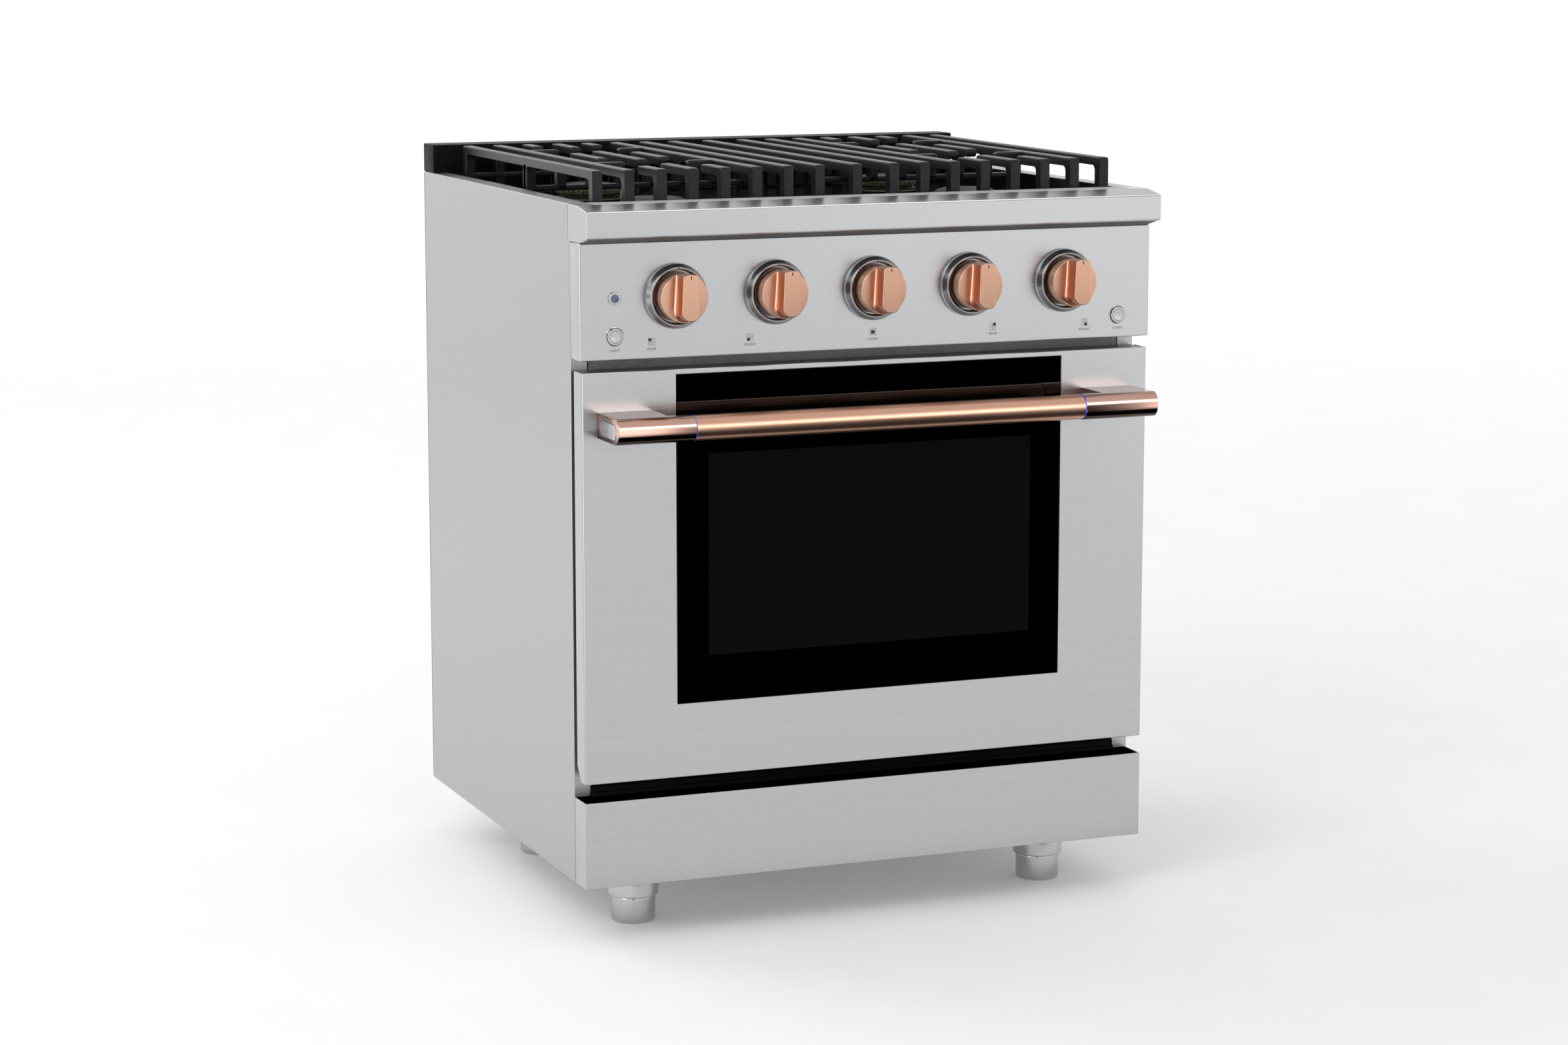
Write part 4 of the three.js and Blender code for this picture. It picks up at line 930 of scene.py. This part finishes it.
piece(
    "lamp_ring", "cabinet", "polished_steel", button_steel,
    turned(LAMP_RING, "y", (lamp_spot[0], lamp_spot[2]), face, -1, 40), "indicator_lamp",
)
lens_finish = mottled("lamp_lens", (500,) * 3, (0.07, 0.09, 0.15), (0.14, 0.17, 0.26), 0.12)[0]
LENS_DOME = [(4.7, 1.2), (4.6, 1.9), (4.0, 2.3), (2.6, 2.6), (1.2, 2.75), (0.3, 2.8)]
piece(
    "lamp_dome", "cabinet", "lamp_lens", lens_finish,
    turned(LENS_DOME, "y", (lamp_spot[0], lamp_spot[2]), face, -1, 32)[:2],
)

# ------------------------------------------------------------------ legs
# Four legs, each a polished sleeve under the cabinet with a smaller foot that screws in and
# out of it. Their rims are rolled.
chrome, tree, shader, smear = mottled(
    "polished_chrome", (30, 30, 90), (0.46, 0.46, 0.47), (0.62, 0.62, 0.63), 0.1, 3.0,
)
shader.inputs["Metallic"].default_value = 1.0
tree.links.new(spread(tree, smear, 0.06, 0.13), shader.inputs["Roughness"])
SLEEVE = (
    [(12.0, 33.0), (29.5, 33.0)] + arc_profile(30.2, 35.1, 2.1, -90, 0, 5) + [(32.3, 70.0)]
    + arc_profile(31.3, 72.0, 1.0, 0, 80, 3) + [(12.0, 73.0)]
)
FOOT = (
    [(0.4, 0.1), (25.0, 0.0)] + arc_profile(25.9, 2.4, 2.4, -90, 0, 5) + [(28.3, 31.0), (27.8, 32.4)]
    + [(12.0, 32.7), (10.0, 34.0), (10.0, 68.0), (0.4, 68.0)]
)
for corner in ("front_left", "front_right", "rear_left", "rear_right"):
    spot = middle(f"leg_foot_{corner}")
    sleeve = turned(SLEEVE, "z", (spot[0], spot[1]), 0, 1, 56)[:2]
    piece(f"leg_tube_{corner}", "cabinet", "polished_steel", chrome, sleeve, f"leg_sleeve_{corner}")
    foot = turned(FOOT, "z", (spot[0], spot[1]), 0, 1, 56)[:2]
    piece(f"leg_pad_{corner}", f"foot_{corner}", "polished_steel", chrome, foot, f"leg_foot_{corner}")

# ------------------------------------------------------------------ oven
# The oven is a box of porcelain enamel, blue-black with fine pale flecks. A lamp sits high on
# its left wall, and the fan at the back turns behind a slotted cover.
enamel, tree, shader = blank_material("oven_enamel")
spot = wire(tree, "ShaderNodeTexCoord").outputs["Object"]
flecks = wire(tree, "ShaderNodeTexVoronoi", Vector=spot, Scale=420.0)
pale = spread(tree, flecks.outputs["Distance"], 1, 0, 0.05, 0.16)
tree.links.new(shade(tree, pale, (0.012, 0.014, 0.022), (0.16, 0.17, 0.19)), shader.inputs["Base Color"])
shader.inputs["Roughness"].default_value = 0.2
bumped(tree, shader, object_noise(tree, (60, 60, 60)), 0.15, 0.0004)
dress(enamel, "oven_cavity", "fan_cover")

low, high = span("fan_cover")
cover_screws = [
    turned(SCREW_HEAD, "y", (x, z), low[1] + 0.2, -1, 20)
    for x in (low[0] + 16, high[0] - 16) for z in (low[2] + 16, high[2] - 16)
]
piece("fan_cover_screws", "cabinet", "galvanised_steel", screw_finish, cover_screws)
oven_lens = mottled("oven_lamp_glass", (200,) * 3, (0.55, 0.53, 0.48), (0.75, 0.73, 0.68), 0.15)[0]
OVEN_LAMP = [
    (26, 0.0), (26, 5.0), (24, 7.5), (22, 8.0), (21, 7.0), (19, 9.0), (12, 11.5), (4, 12.5), (0.5, 12.6),
]
OVEN_LAMP_PLACE = (60, 600)
lamp = turned(OVEN_LAMP, "x", OVEN_LAMP_PLACE, cavity_low[0] + 1.8, 1, 40)[:2]
piece("oven_lamp", "cabinet", "lamp_lens", oven_lens, lamp)

# The rack is chromed wire: a stout frame with its corners rounded, one brace below and fifteen
# thin bars from front to back, crowned a little in the middle.
low, high = span("oven_rack")
level = (low[2] + high[2]) / 2 + 0.7
outer = ring(rectangle(low[0] + 3, high[0] - 3, low[1] + 3, high[1] - 3, 12, 6), "z", level - 0.7)
wires = [tube(outer, 2.5, True)]
brace_y, brace_z = (low[1] + high[1]) / 2, level - 3.2
wires.append(tube([(x, brace_y, brace_z) for x in (low[0] + 4, 0, high[0] - 4)], 1.6))
for x in np.linspace(low[0] + 39, high[0] - 39, 15):
    wires.append(tube([(x, low[1] + 3, level), (x, brace_y, level + 0.2), (x, high[1] - 3, level)], 1.8))
piece("rack_wires", "rack", "polished_steel", chrome, wires, "oven_rack")

# ------------------------------------------------------------------ cooktop
# The cooktop is a deep tray of glossy black enamel with rounded corners. Each burner is a
# cast head with a crown of gas ports, an enamelled cap and a white ceramic igniter beside it.
gloss_enamel, tree, shader, ripple = mottled(
    "cooktop_enamel", (45,) * 3, (0.006, 0.006, 0.007), (0.012, 0.012, 0.013), 0.14,
)
bumped(tree, shader, ripple, 0.1, 0.0005)
low, high = span("cooktop_pan")
pan = tray(low, high, "z", 1, 2.0, 9.0, 1.4, steps=8)
piece("cooktop_tray", "cabinet", "black_enamel", gloss_enamel, pan, "cooktop_pan")
pan_floor = low[2] + 2

alloy = speckled("burner_brass", (0.10, 0.09, 0.065), (0.22, 0.20, 0.155), 1.0, 0.42, 300)
cap_iron = speckled("cap_enamel", (0.008, 0.008, 0.008), (0.018, 0.018, 0.018), 0.0, 0.45, 500)
PORTS = 36
PORT_DEPTH = 2.6


def port_teeth(angle, level):
    """Notches round a burner's crown: the radius falls by PORT_DEPTH where a clipped cosine wave
    of the angle is low, between heights 9 and 15.4."""
    notch = np.clip(0.5 - 2.2 * np.cos(PORTS * angle), 0, 1)
    band = np.clip((level - 9.0) / 0.6, 0, 1) * np.clip((15.4 - level) / 0.3, 0, 1)
    return -PORT_DEPTH * notch * band


HEAD = (
    [(12, 0.3), (48.6, 0.3)] + arc_profile(48.8, 1.7, 1.2, -80, 60, 4)
    + [(40.0, 4.6), (38.6, 6.4), (40.0, 8.0), (43.2, 9.0), (44.0, 9.7), (44.0, 11.0)]
    + [(44.0, 13.6), (43.6, 15.0), (36.0, 15.1), (10.0, 15.1)]
)
BURNER_CAP = (
    [(10, 15.3), (37.6, 15.3)] + arc_profile(37.8, 16.5, 1.2, -80, 40, 4)
    + [(37.0, 18.4), (34.4, 19.8), (28.0, 21.2), (18.0, 22.0), (8.0, 22.4), (0.5, 22.5)]
)
ceramic = mottled("igniter_ceramic", (900,) * 3, (0.68, 0.66, 0.62), (0.8, 0.78, 0.75), 0.4)[0]
IGNITER = [(3.4, 0.3), (3.4, 12.0), (2.4, 13.0), (1.2, 13.2), (1.2, 15.6), (0.4, 16.0)]
BURNERS = ("front_left", "front_right", "rear_left", "rear_right")
igniters = []
for burner in BURNERS:
    spot = middle(f"burner_head_{burner}")
    centre = (spot[0], spot[1])
    head = turned(HEAD, "z", centre, pan_floor, 1, PORTS * 8, port_teeth)[:2]
    piece(f"gas_ring_{burner}", "cabinet", "burner_alloy", alloy, head, f"burner_head_{burner}", sharp=30)
    cap = turned(BURNER_CAP, "z", centre, pan_floor, 1, 64)[:2]
    piece(f"gas_cap_{burner}", "cabinet", "black_enamel", cap_iron, cap, f"burner_cap_{burner}")
    igniters.append(turned(IGNITER, "z", (centre[0] + 33, centre[1] - 44), pan_floor, 1, 16)[:2])
piece("igniters", "cabinet", "black_enamel", ceramic, igniters)

# ------------------------------------------------------------------ grates
# The grates are matt black cast iron. A bar is one casting: a rail with a post at each end,
# webs down to two low cross rails, and all its edges rounded. The middle bars stop short of
# the burners, and fingers point at each burner from both sides.
iron, tree, shader = blank_material("cast_iron")
sand = object_noise(tree, (850, 850, 850), 3.0, 0.6)
cloud = object_noise(tree, (60, 60, 60), 3.0)
crust = shade(tree, spread(tree, cloud, 0, 1), (0.004, 0.004, 0.0045), (0.010, 0.010, 0.011))
tree.links.new(crust, shader.inputs["Base Color"])
tree.links.new(spread(tree, sand, 0.26, 0.42), shader.inputs["Roughness"])
shader.inputs["Specular IOR Level"].default_value = 0.34
bumped(tree, shader, sand, 0.35, 0.0002)

grate_low, grate_high = span("grate_right")
BAR = 13.0
DEEP = 11.0
BAR_EDGE = 1.5
POST = 15.0
LADDER_Z = 903.5
bar_top = grate_high[2]
rail_under = bar_top - DEEP
foot_z = grate_low[2]
front_y, rear_y = grate_low[1], grate_high[1]
ladder_y = face + 314
ladder_front, ladder_rear = ladder_y - 6, ladder_y + 6
burner_front = middle("burner_head_front_left")[1]
burner_rear = middle("burner_head_rear_left")[1]


def bar(x, corners, radii, half=BAR / 2):
    """One bar: an outline in depth and height, carried across by its width, edges rounded."""
    return prism(rounded(corners, radii, 5), "x", x - half, x + half, BAR_EDGE, 3)


def full_bar(x):
    """From the front post to the rear post, with a web in the middle."""
    return bar(x, [
        (front_y, foot_z), (front_y + POST, foot_z), (front_y + POST, rail_under),
        (ladder_front, rail_under), (ladder_front, LADDER_Z), (ladder_rear, LADDER_Z),
        (ladder_rear, rail_under), (rear_y - POST, rail_under), (rear_y - POST, foot_z),
        (rear_y, foot_z), (rear_y, bar_top), (front_y, bar_top),
    ], [3, 3, 7, 7, 3, 3, 7, 7, 3, 3, 4.5, 4.5])


def short_bar(x, clear):
    """A bar in three parts, each ending clear of the burners."""
    first, second = burner_front - clear, burner_front + clear
    third, fourth = burner_rear - clear, burner_rear + clear
    return [
        bar(x, [
            (front_y, foot_z), (front_y + POST, foot_z), (front_y + POST, rail_under),
            (first, rail_under), (first, bar_top), (front_y, bar_top),
        ], [3, 3, 7, 4.5, 4.5, 4.5]),
        bar(x, [
            (second, rail_under), (ladder_front, rail_under), (ladder_front, LADDER_Z),
            (ladder_rear, LADDER_Z), (ladder_rear, rail_under), (third, rail_under),
            (third, bar_top), (second, bar_top),
        ], [4.5, 7, 3, 3, 7, 4.5, 4.5, 4.5]),
        bar(x, [
            (fourth, rail_under), (rear_y - POST, rail_under), (rear_y - POST, foot_z),
            (rear_y, foot_z), (rear_y, bar_top), (fourth, bar_top),
        ], [4.5, 7, 3, 3, 4.5, 4.5]),
    ]


def cross_bar(x0, x1, y0, y1, z0, z1, edge=1.6, corner=2.0):
    """A low rail across a grate."""
    return prism(rectangle(y0, y1, z0, z1, corner, 4), "x", min(x0, x1), max(x0, x1), edge)


PITCH = 41.4
FIRST = 50.0
for hand, side in (("left", -1), ("right", 1)):
    centres = side * (FIRST + PITCH * np.arange(8))
    parts = []
    for k, x in enumerate(centres):
        if k in (3, 4, 5):
            parts += short_bar(x, 41 if k == 4 else 74)
        else:
            parts.append(full_bar(x))
    ends = centres[0] - side * 2, centres[-1] + side * 2
    parts.append(cross_bar(*ends, ladder_front, ladder_rear, LADDER_Z, LADDER_Z + 7))
    parts.append(cross_bar(*ends, rear_y - 16, rear_y - 4, LADDER_Z, LADDER_Z + 7))
    parts.append(cross_bar(*ends, front_y + 3, front_y + 12, 892, 902))
    burner_x = middle(f"burner_head_front_{hand}")[0]
    for y in (burner_front, burner_rear):
        for start in (centres[2], centres[6]):
            stop = burner_x + np.sign(start - burner_x) * 41
            parts.append(cross_bar(start, stop, y - 6, y + 6, rail_under, bar_top, 4.0, 2.6))
    parts.append(bar(centres[-1], [
        (ladder_y - 8, foot_z), (ladder_y + 8, foot_z), (ladder_y + 8, rail_under + 3),
        (ladder_y - 8, rail_under + 3),
    ], [3, 3, 1, 1]))
    piece(f"grate_casting_{hand}", f"grate_{hand}_body", "cast_iron", iron, parts, f"grate_{hand}")

centre_parts = [bar(0, [
    (front_y, foot_z), (front_y + POST, foot_z), (front_y + POST, rail_under),
    (rear_y - POST, rail_under), (rear_y - POST, foot_z), (rear_y, foot_z), (rear_y, bar_top),
    (front_y, bar_top),
], [3, 3, 7, 7, 3, 3, 4.5, 4.5])]
centre_parts += [cross_bar(-18, 18, y - 7, y + 7, foot_z, foot_z + 7.7) for y in (front_y + 8, rear_y - 8)]
piece("grate_casting_centre", "grate_centre_body", "cast_iron", iron, centre_parts, "grate_centre")

# ------------------------------------------------------------------ rear trim
# Across the back of the cooktop stands a black folded box whose top is marked with the slots
# that let the oven's heat out.
low, high = span("rear_vent_trim")
SLOT_PITCH = 20.7
SLOT_COUNT = 35
slots = [
    rectangle(x - 5, x + 5, low[1] + 10, high[1] - 10, 4.6, 4)
    for x in SLOT_PITCH * (np.arange(SLOT_COUNT) - SLOT_COUNT // 2)
]
trim = tray(low, high, "z", -1, 1.5, 1.6, 1.2, holes=slots)
piece("vent_trim", "cabinet", "black_sheet", black_paint, trim, "rear_vent_trim", weighted=False)

# ------------------------------------------------------------------ door skin
# The door's face is brushed steel folded back along its sides and foot, with a square opening
# for the glass. The lower rear corners of its sides are cut away.
low, high = span("door_skin")
glass_low, glass_high = span("door_glass")
GLASS_GAP = 0.3
SKIN = 2.0
SKIN_EDGE = 1.6
FLANGE_DEPTH = 17.0


def door_ring(inward, radius, y):
    """The door's outer edge, drawn in by inward, at depth y."""
    outline = rectangle(
        low[0] + inward, high[0] - inward, low[2] + inward, high[2] - inward, radius, 5,
    )
    return ring(outline, "y", face + y)


def mouth_ring(outward, radius, y):
    """The glass opening's edge, drawn out by outward, at depth y."""
    outward += GLASS_GAP
    outline = rectangle(
        glass_low[0] - outward, glass_high[0] + outward, glass_low[2] - outward,
        glass_high[2] + outward, radius, 5,
    )
    return ring(outline, "y", face + y)


cos, sin = quarter(4)
skin_rings = [
    mouth_ring(0, 0.8, SKIN), mouth_ring(0, 0.8, 0.5), mouth_ring(0.15, 0.95, 0.15),
    mouth_ring(0.5, 1.3, 0),
]
for c, s in zip(cos, sin):
    inward = SKIN_EDGE * (1 - s)
    skin_rings.append(door_ring(inward, max(0.8, 2.4 - inward), SKIN_EDGE * (1 - c)))
skin_rings += [
    door_ring(0, 2.4, 3.0), door_ring(0.4, 2.0, 3.3), door_ring(1.6, 0.9, 3.3),
    door_ring(2.0, 0.6, 3.0), door_ring(2.0, 0.6, SKIN),
]
door_parts = [surface(skin_rings, closed=True)]
flange_front, flange_back = face + 2.2, face + FLANGE_DEPTH
flange = rounded(
    [
        (flange_front, low[2] + 0.6), (flange_back, low[2] + 0.6), (high[1], low[2] + 20),
        (high[1], high[2] - 0.4), (flange_front, high[2] - 0.4),
    ],
    [0.3, 5, 5, 1.2, 0.3], 4,
)
for x in (low[0], high[0] - SKIN):
    door_parts.append(prism(flange, "x", x, x + SKIN, 0.5))
lip = rectangle(low[0] + 1, high[0] - 1, flange_front, flange_back, 1, 3)
door_parts.append(prism(lip, "z", low[2], low[2] + SKIN, 0.4))
piece("door_face", "door", "brushed_steel", front_steel, door_parts, "door_skin")

# ------------------------------------------------------------------ door glass
# The outer pane is black glass, printed black round its edge, with a faintly paler window in
# its middle. The inner pane closes the liner's window.
window_low, window_high = span("door_inner_glass")
pane, tree, shader = blank_material("door_pane")
spot = wire(tree, "ShaderNodeTexCoord").outputs["Object"]
parts_of = wire(tree, "ShaderNodeSeparateXYZ", Vector=spot)


def within(tree, value, low, high):
    """1 where value lies between low and high, with a soft edge of half a millimetre."""
    rise = spread(tree, value, 0, 1, low - 0.00025, low + 0.00025)
    fall = spread(tree, value, 1, 0, high - 0.00025, high + 0.00025)
    return combine(tree, "MULTIPLY", rise, fall)


across = within(tree, parts_of.outputs["X"], window_low[0] / 1000, window_high[0] / 1000)
up = within(tree, parts_of.outputs["Z"], window_low[2] / 1000, window_high[2] / 1000)
window = combine(tree, "MULTIPLY", across, up)
tint = shade(tree, window, (0.0, 0.0, 0.0), (0.0045, 0.0045, 0.0048))
tree.links.new(tint, shader.inputs["Base Color"])
shader.inputs["Roughness"].default_value = 0.03
shader.inputs["Specular IOR Level"].default_value = 0.5
for name, node, corner in (
    ("door_pane_outer", "door_glass", 1.2), ("door_pane_inner", "door_inner_glass", 1.5),
):
    low, high = span(node)
    outline = rectangle(low[0], high[0], low[2], high[2], corner, 5)
    piece(name, "door", "door_glass", pane, prism(outline, "y", low[1], high[1], 0.5), node)

# ------------------------------------------------------------------ door liner
# The liner is the door's enamelled inner pan, with a raised middle and a sleeve round the
# window. A cap along its top, dark glossy enamel coloured grey as painted reflection, is marked
# with two staggered rows of vent slots.
low, high = span("door_liner")
wall = 1.6
VENT_PITCH = 38.0
VENT_HALF = 14.0
VENT_DEPTH = 9.0
CAP_SHEET = 1.5


def liner_ring(x_half, bottom, ceiling, radius, y):
    return ring(rectangle(-x_half, x_half, bottom, ceiling, radius, 6), "y", y)


back = high[1]
raised = back - 7
sleeve_x = window_high[0] + 0.3
sleeve_low, sleeve_high = window_low[2] - 0.3, window_high[2] + 0.3
outer_x = high[0]
path = [
    (sleeve_x, sleeve_low, sleeve_high, 3, face + 6),
    (sleeve_x, sleeve_low, sleeve_high, 3, back - 1.5),
    (sleeve_x + 0.5, sleeve_low - 0.5, sleeve_high + 0.5, 3.5, back - 0.4),
    (sleeve_x + 1.6, sleeve_low - 1.6, sleeve_high + 1.6, 4.5, back),
    (outer_x - 24, low[2] + 3, high[2] - 6, 16, back),
    (outer_x - 21, low[2] + 1.2, high[2] - 4, 18, back - 1.5),
    (outer_x - 20, low[2] + 0.6, high[2] - 3, 18, back - 4),
    (outer_x - 18.5, low[2] + 0.4, high[2] - 2.4, 14, raised),
    (outer_x - 1.2, low[2] + 0.3, high[2] - 1.8, 4, raised),
    (outer_x, low[2], high[2] - 1.6, 4, raised - 1.4),
    (outer_x, low[2], high[2] - 1.6, 4, low[1]),
]
inner = [
    (x - wall, z0 + wall, z1 - wall, max(r - 1, 1), y - wall) for x, z0, z1, r, y in path[:3:-1]
]
inner[0] = (*inner[0][:4], low[1])
inner += [(x + wall, z0 - wall, z1 + wall, r + 1, y - wall) for x, z0, z1, r, y in path[3::-1]]
inner[-1] = (*inner[-1][:4], path[0][4])
liner_parts = [surface([liner_ring(*row) for row in path + inner], closed=True)]
vents = []
for depth, shift, count in ((6.5, 0.0, 17), (19, VENT_PITCH / 2, 16)):
    for k in range(count):
        x = (k - 8) * VENT_PITCH + shift
        vents.append(rectangle(
            x - VENT_HALF, x + VENT_HALF, face + depth, face + depth + VENT_DEPTH, 3.5, 4,
        ))
cap_outline = rectangle(low[0] + 0.5, high[0] - 0.5, face + 3.5, back - 0.5, 1.5, 4)
piece("door_inner_pan", "door", "black_enamel", gloss_enamel, liner_parts, "door_liner")
# Painted reflection: the cap is dark glossy enamel, given a grey colour for the sheen it shows.
cap_painted_sheen = speckled("vent_cap", (0.10, 0.10, 0.105), (0.15, 0.15, 0.156), 0.0, 0.35, 120, 0.00005)
cap = sheet(cap_outline, vents, "z", high[2] - CAP_SHEET, high[2])
piece("door_vent_cap", "door", "black_enamel", cap_painted_sheen, cap, weighted=False)

dress(front_steel, "door_hinge_left", "door_hinge_right")

# ------------------------------------------------------------------ handle
# The handle is a rose-gold tube between two solid end blocks. The ends are polished, the tube
# is finely cross-brushed, a thin blue ring marks each joint, and a plain steel badge is let
# into each end cap.
polished_copper, tree, shader = blank_material("polished_copper")
smear = object_noise(tree, (14, 160, 160), 3.0)
plated = shade(tree, smear, (0.77, 0.48, 0.385), (0.83, 0.52, 0.415))
shader.inputs["Metallic"].default_value = 1.0
tree.links.new(spread(tree, smear, 0.12, 0.17), shader.inputs["Roughness"])

low, high = span("handle_bracket_right")
bar_low, bar_high = span("handle_bar")
nose = low[1]
handle_low, handle_high = low[2], high[2]
# The plating's colour is darkened along the underside, and a little along the top: painted shade for the
# dark floor and the grey sky that these faces reflect.
spot = wire(tree, "ShaderNodeTexCoord").outputs["Object"]
height = wire(tree, "ShaderNodeSeparateXYZ", Vector=spot).outputs["Z"]
under = spread(tree, height, 0.06, 1, (handle_low + 4) / 1000, (handle_low + 14) / 1000)
over = spread(tree, height, 1, 0.62, (handle_high - 8) / 1000, (handle_high - 1) / 1000)
painted_shade = wire(tree, "ShaderNodeMix", data_type="RGBA")
tree.links.new(combine(tree, "MULTIPLY", under, over), painted_shade.inputs[0])
painted_shade.inputs[6].default_value = (0.02, 0.008, 0.004, 1)
tree.links.new(plated, painted_shade.inputs[7])
tree.links.new(painted_shade.outputs[2], shader.inputs["Base Color"])
NOSE_RADIUS = 13.0
STUB_DEPTH = 31.5
block_outline = rounded(
    [(nose, handle_low), (high[1], handle_low), (high[1], handle_high), (nose, handle_high)],
    [NOSE_RADIUS, 0.3, 0.3, NOSE_RADIUS], 10,
)
stub_outline = rectangle(nose, nose + STUB_DEPTH, handle_low, handle_high, NOSE_RADIUS, 10)
BLOCK_START = 289.0
END_EDGE = 1.2
cos, sin = quarter(4)
end_rounding = [(END_EDGE * (1 - s), END_EDGE * (1 - c)) for c, s in zip(cos, sin)][::-1]
for hand, side in (("left", -1), ("right", 1)):
    rings = [
        ring(inset(stub_outline, 0.3), "x", side * (low[0] + 0.2)),
        ring(stub_outline, "x", side * (low[0] + 0.5)),
        ring(stub_outline, "x", side * BLOCK_START), ring(block_outline, "x", side * BLOCK_START),
    ]
    rings += [ring(inset(block_outline, d), "x", side * (high[0] - h)) for d, h in end_rounding]
    piece(
        f"handle_end_{hand}", "door", "rose_gold", polished_copper, surface(rings),
        f"handle_bracket_{hand}",
    )

grip_copper, tree, shader = blank_material("grip_copper")
spot = wire(tree, "ShaderNodeTexCoord").outputs["Object"]
lines = []
for lean in (0.7, -0.7):
    mapped = wire(tree, "ShaderNodeMapping", Vector=spot, Rotation=(0, lean, 0))
    wave = wire(
        tree, "ShaderNodeTexWave", Vector=mapped.outputs[0], Scale=190.0, Distortion=0.6, Detail=1.0,
    )
    lines.append(wave.outputs["Fac"])
knurl = spread(tree, combine(tree, "ADD", *lines), 0, 1, 0, 2)
tree.links.new(shade(tree, knurl, scaled(COPPER, 0.86), scaled(COPPER, 1.04)), shader.inputs["Base Color"])
shader.inputs["Metallic"].default_value = 1.0
tree.links.new(spread(tree, knurl, 0.34, 0.28, 0, 1), shader.inputs["Roughness"])
bumped(tree, shader, knurl, 0.25, 0.0002)

axis_y, axis_z = (bar_low[1] + bar_high[1]) / 2, (bar_low[2] + bar_high[2]) / 2
grip_radius = (bar_high[2] - bar_low[2]) / 2
length = bar_high[0] - bar_low[0]
GRIP = [(2, 0), (grip_radius - 0.4, 0), (grip_radius, 0.4)]
GRIP += [(grip_radius, t) for t in np.linspace(1, length - 1, 40)]
GRIP += [(grip_radius, length - 0.4), (grip_radius - 0.4, length), (2, length)]
piece(
    "handle_grip", "door", "rose_gold", grip_copper,
    turned(GRIP, "x", (axis_y, axis_z), bar_low[0], 1, 64)[:2], "handle_bar", weighted=False,
)

blue = mottled("blue_ring", (400,) * 3, (0.01, 0.05, 0.75), (0.03, 0.09, 0.95), 0.25)[0]
ring_radius = grip_radius + 0.5
RING = [
    (14.5, -0.45), (ring_radius - 0.15, -0.45), (ring_radius, -0.3), (ring_radius, 0.3),
    (ring_radius - 0.15, 0.45), (14.5, 0.45),
]
piece(
    "handle_rings", "door", "rose_gold", blue,
    [turned(RING, "x", (axis_y, axis_z), x, 1, 64)[:2] for x in (bar_low[0], bar_high[0])],
)

badge_steel = brushed("badge_steel", (0.62, 0.62, 0.63), 0.26, ALONG_Z, 0.1, 0.3)
groove = mottled("badge_groove", (700,) * 3, (0.03, 0.015, 0.01), (0.07, 0.035, 0.025), 0.5)[0]
badge = rectangle(nose + 8, high[1] - 7.7, handle_low + 5, handle_high - 6.4, 8.5, 8)
for side, hand in ((-1, "left"), (1, "right")):
    end = side * high[0]
    piece(
        f"badge_rim_{hand}", "door", "rose_gold", groove,
        prism(badge, "x", *sorted((end - side * 1, end + side * 0.15)), 0.1),
    )
    piece(
        f"badge_{hand}", "door", "brushed_steel", badge_steel,
        prism(inset(badge, 0.9), "x", *sorted((end - side * 1, end + side * 0.5)), 0.35),
    )

# ------------------------------------------------------------------ lamps that light some pieces
# The fills stand in for the floor that the flags hide, for bare metal only. The edge lamps draw
# the bright lines on folds and knobs, and the handle has two lamps of its own.


def light_only(lamp, *starts):
    """The lamp lights only pieces whose slot or whose name starts with one of the words."""
    lit = bpy.data.collections.new(f"lit_by_{lamp.name}")
    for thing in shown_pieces():
        if thing.name.startswith(starts) or str(thing.get("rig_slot")).startswith(starts):
            lit.objects.link(thing)
    lamp.light_linking.receiver_collection = lit


for fill in steel_fills:
    light_only(fill, "brushed_steel", "polished_steel", "galvanised_steel")
for lamp in edge_lamps:
    light_only(lamp, "brushed_steel", "polished_steel", "control_knob")
for lamp in handle_lamps:
    light_only(lamp, "handle")
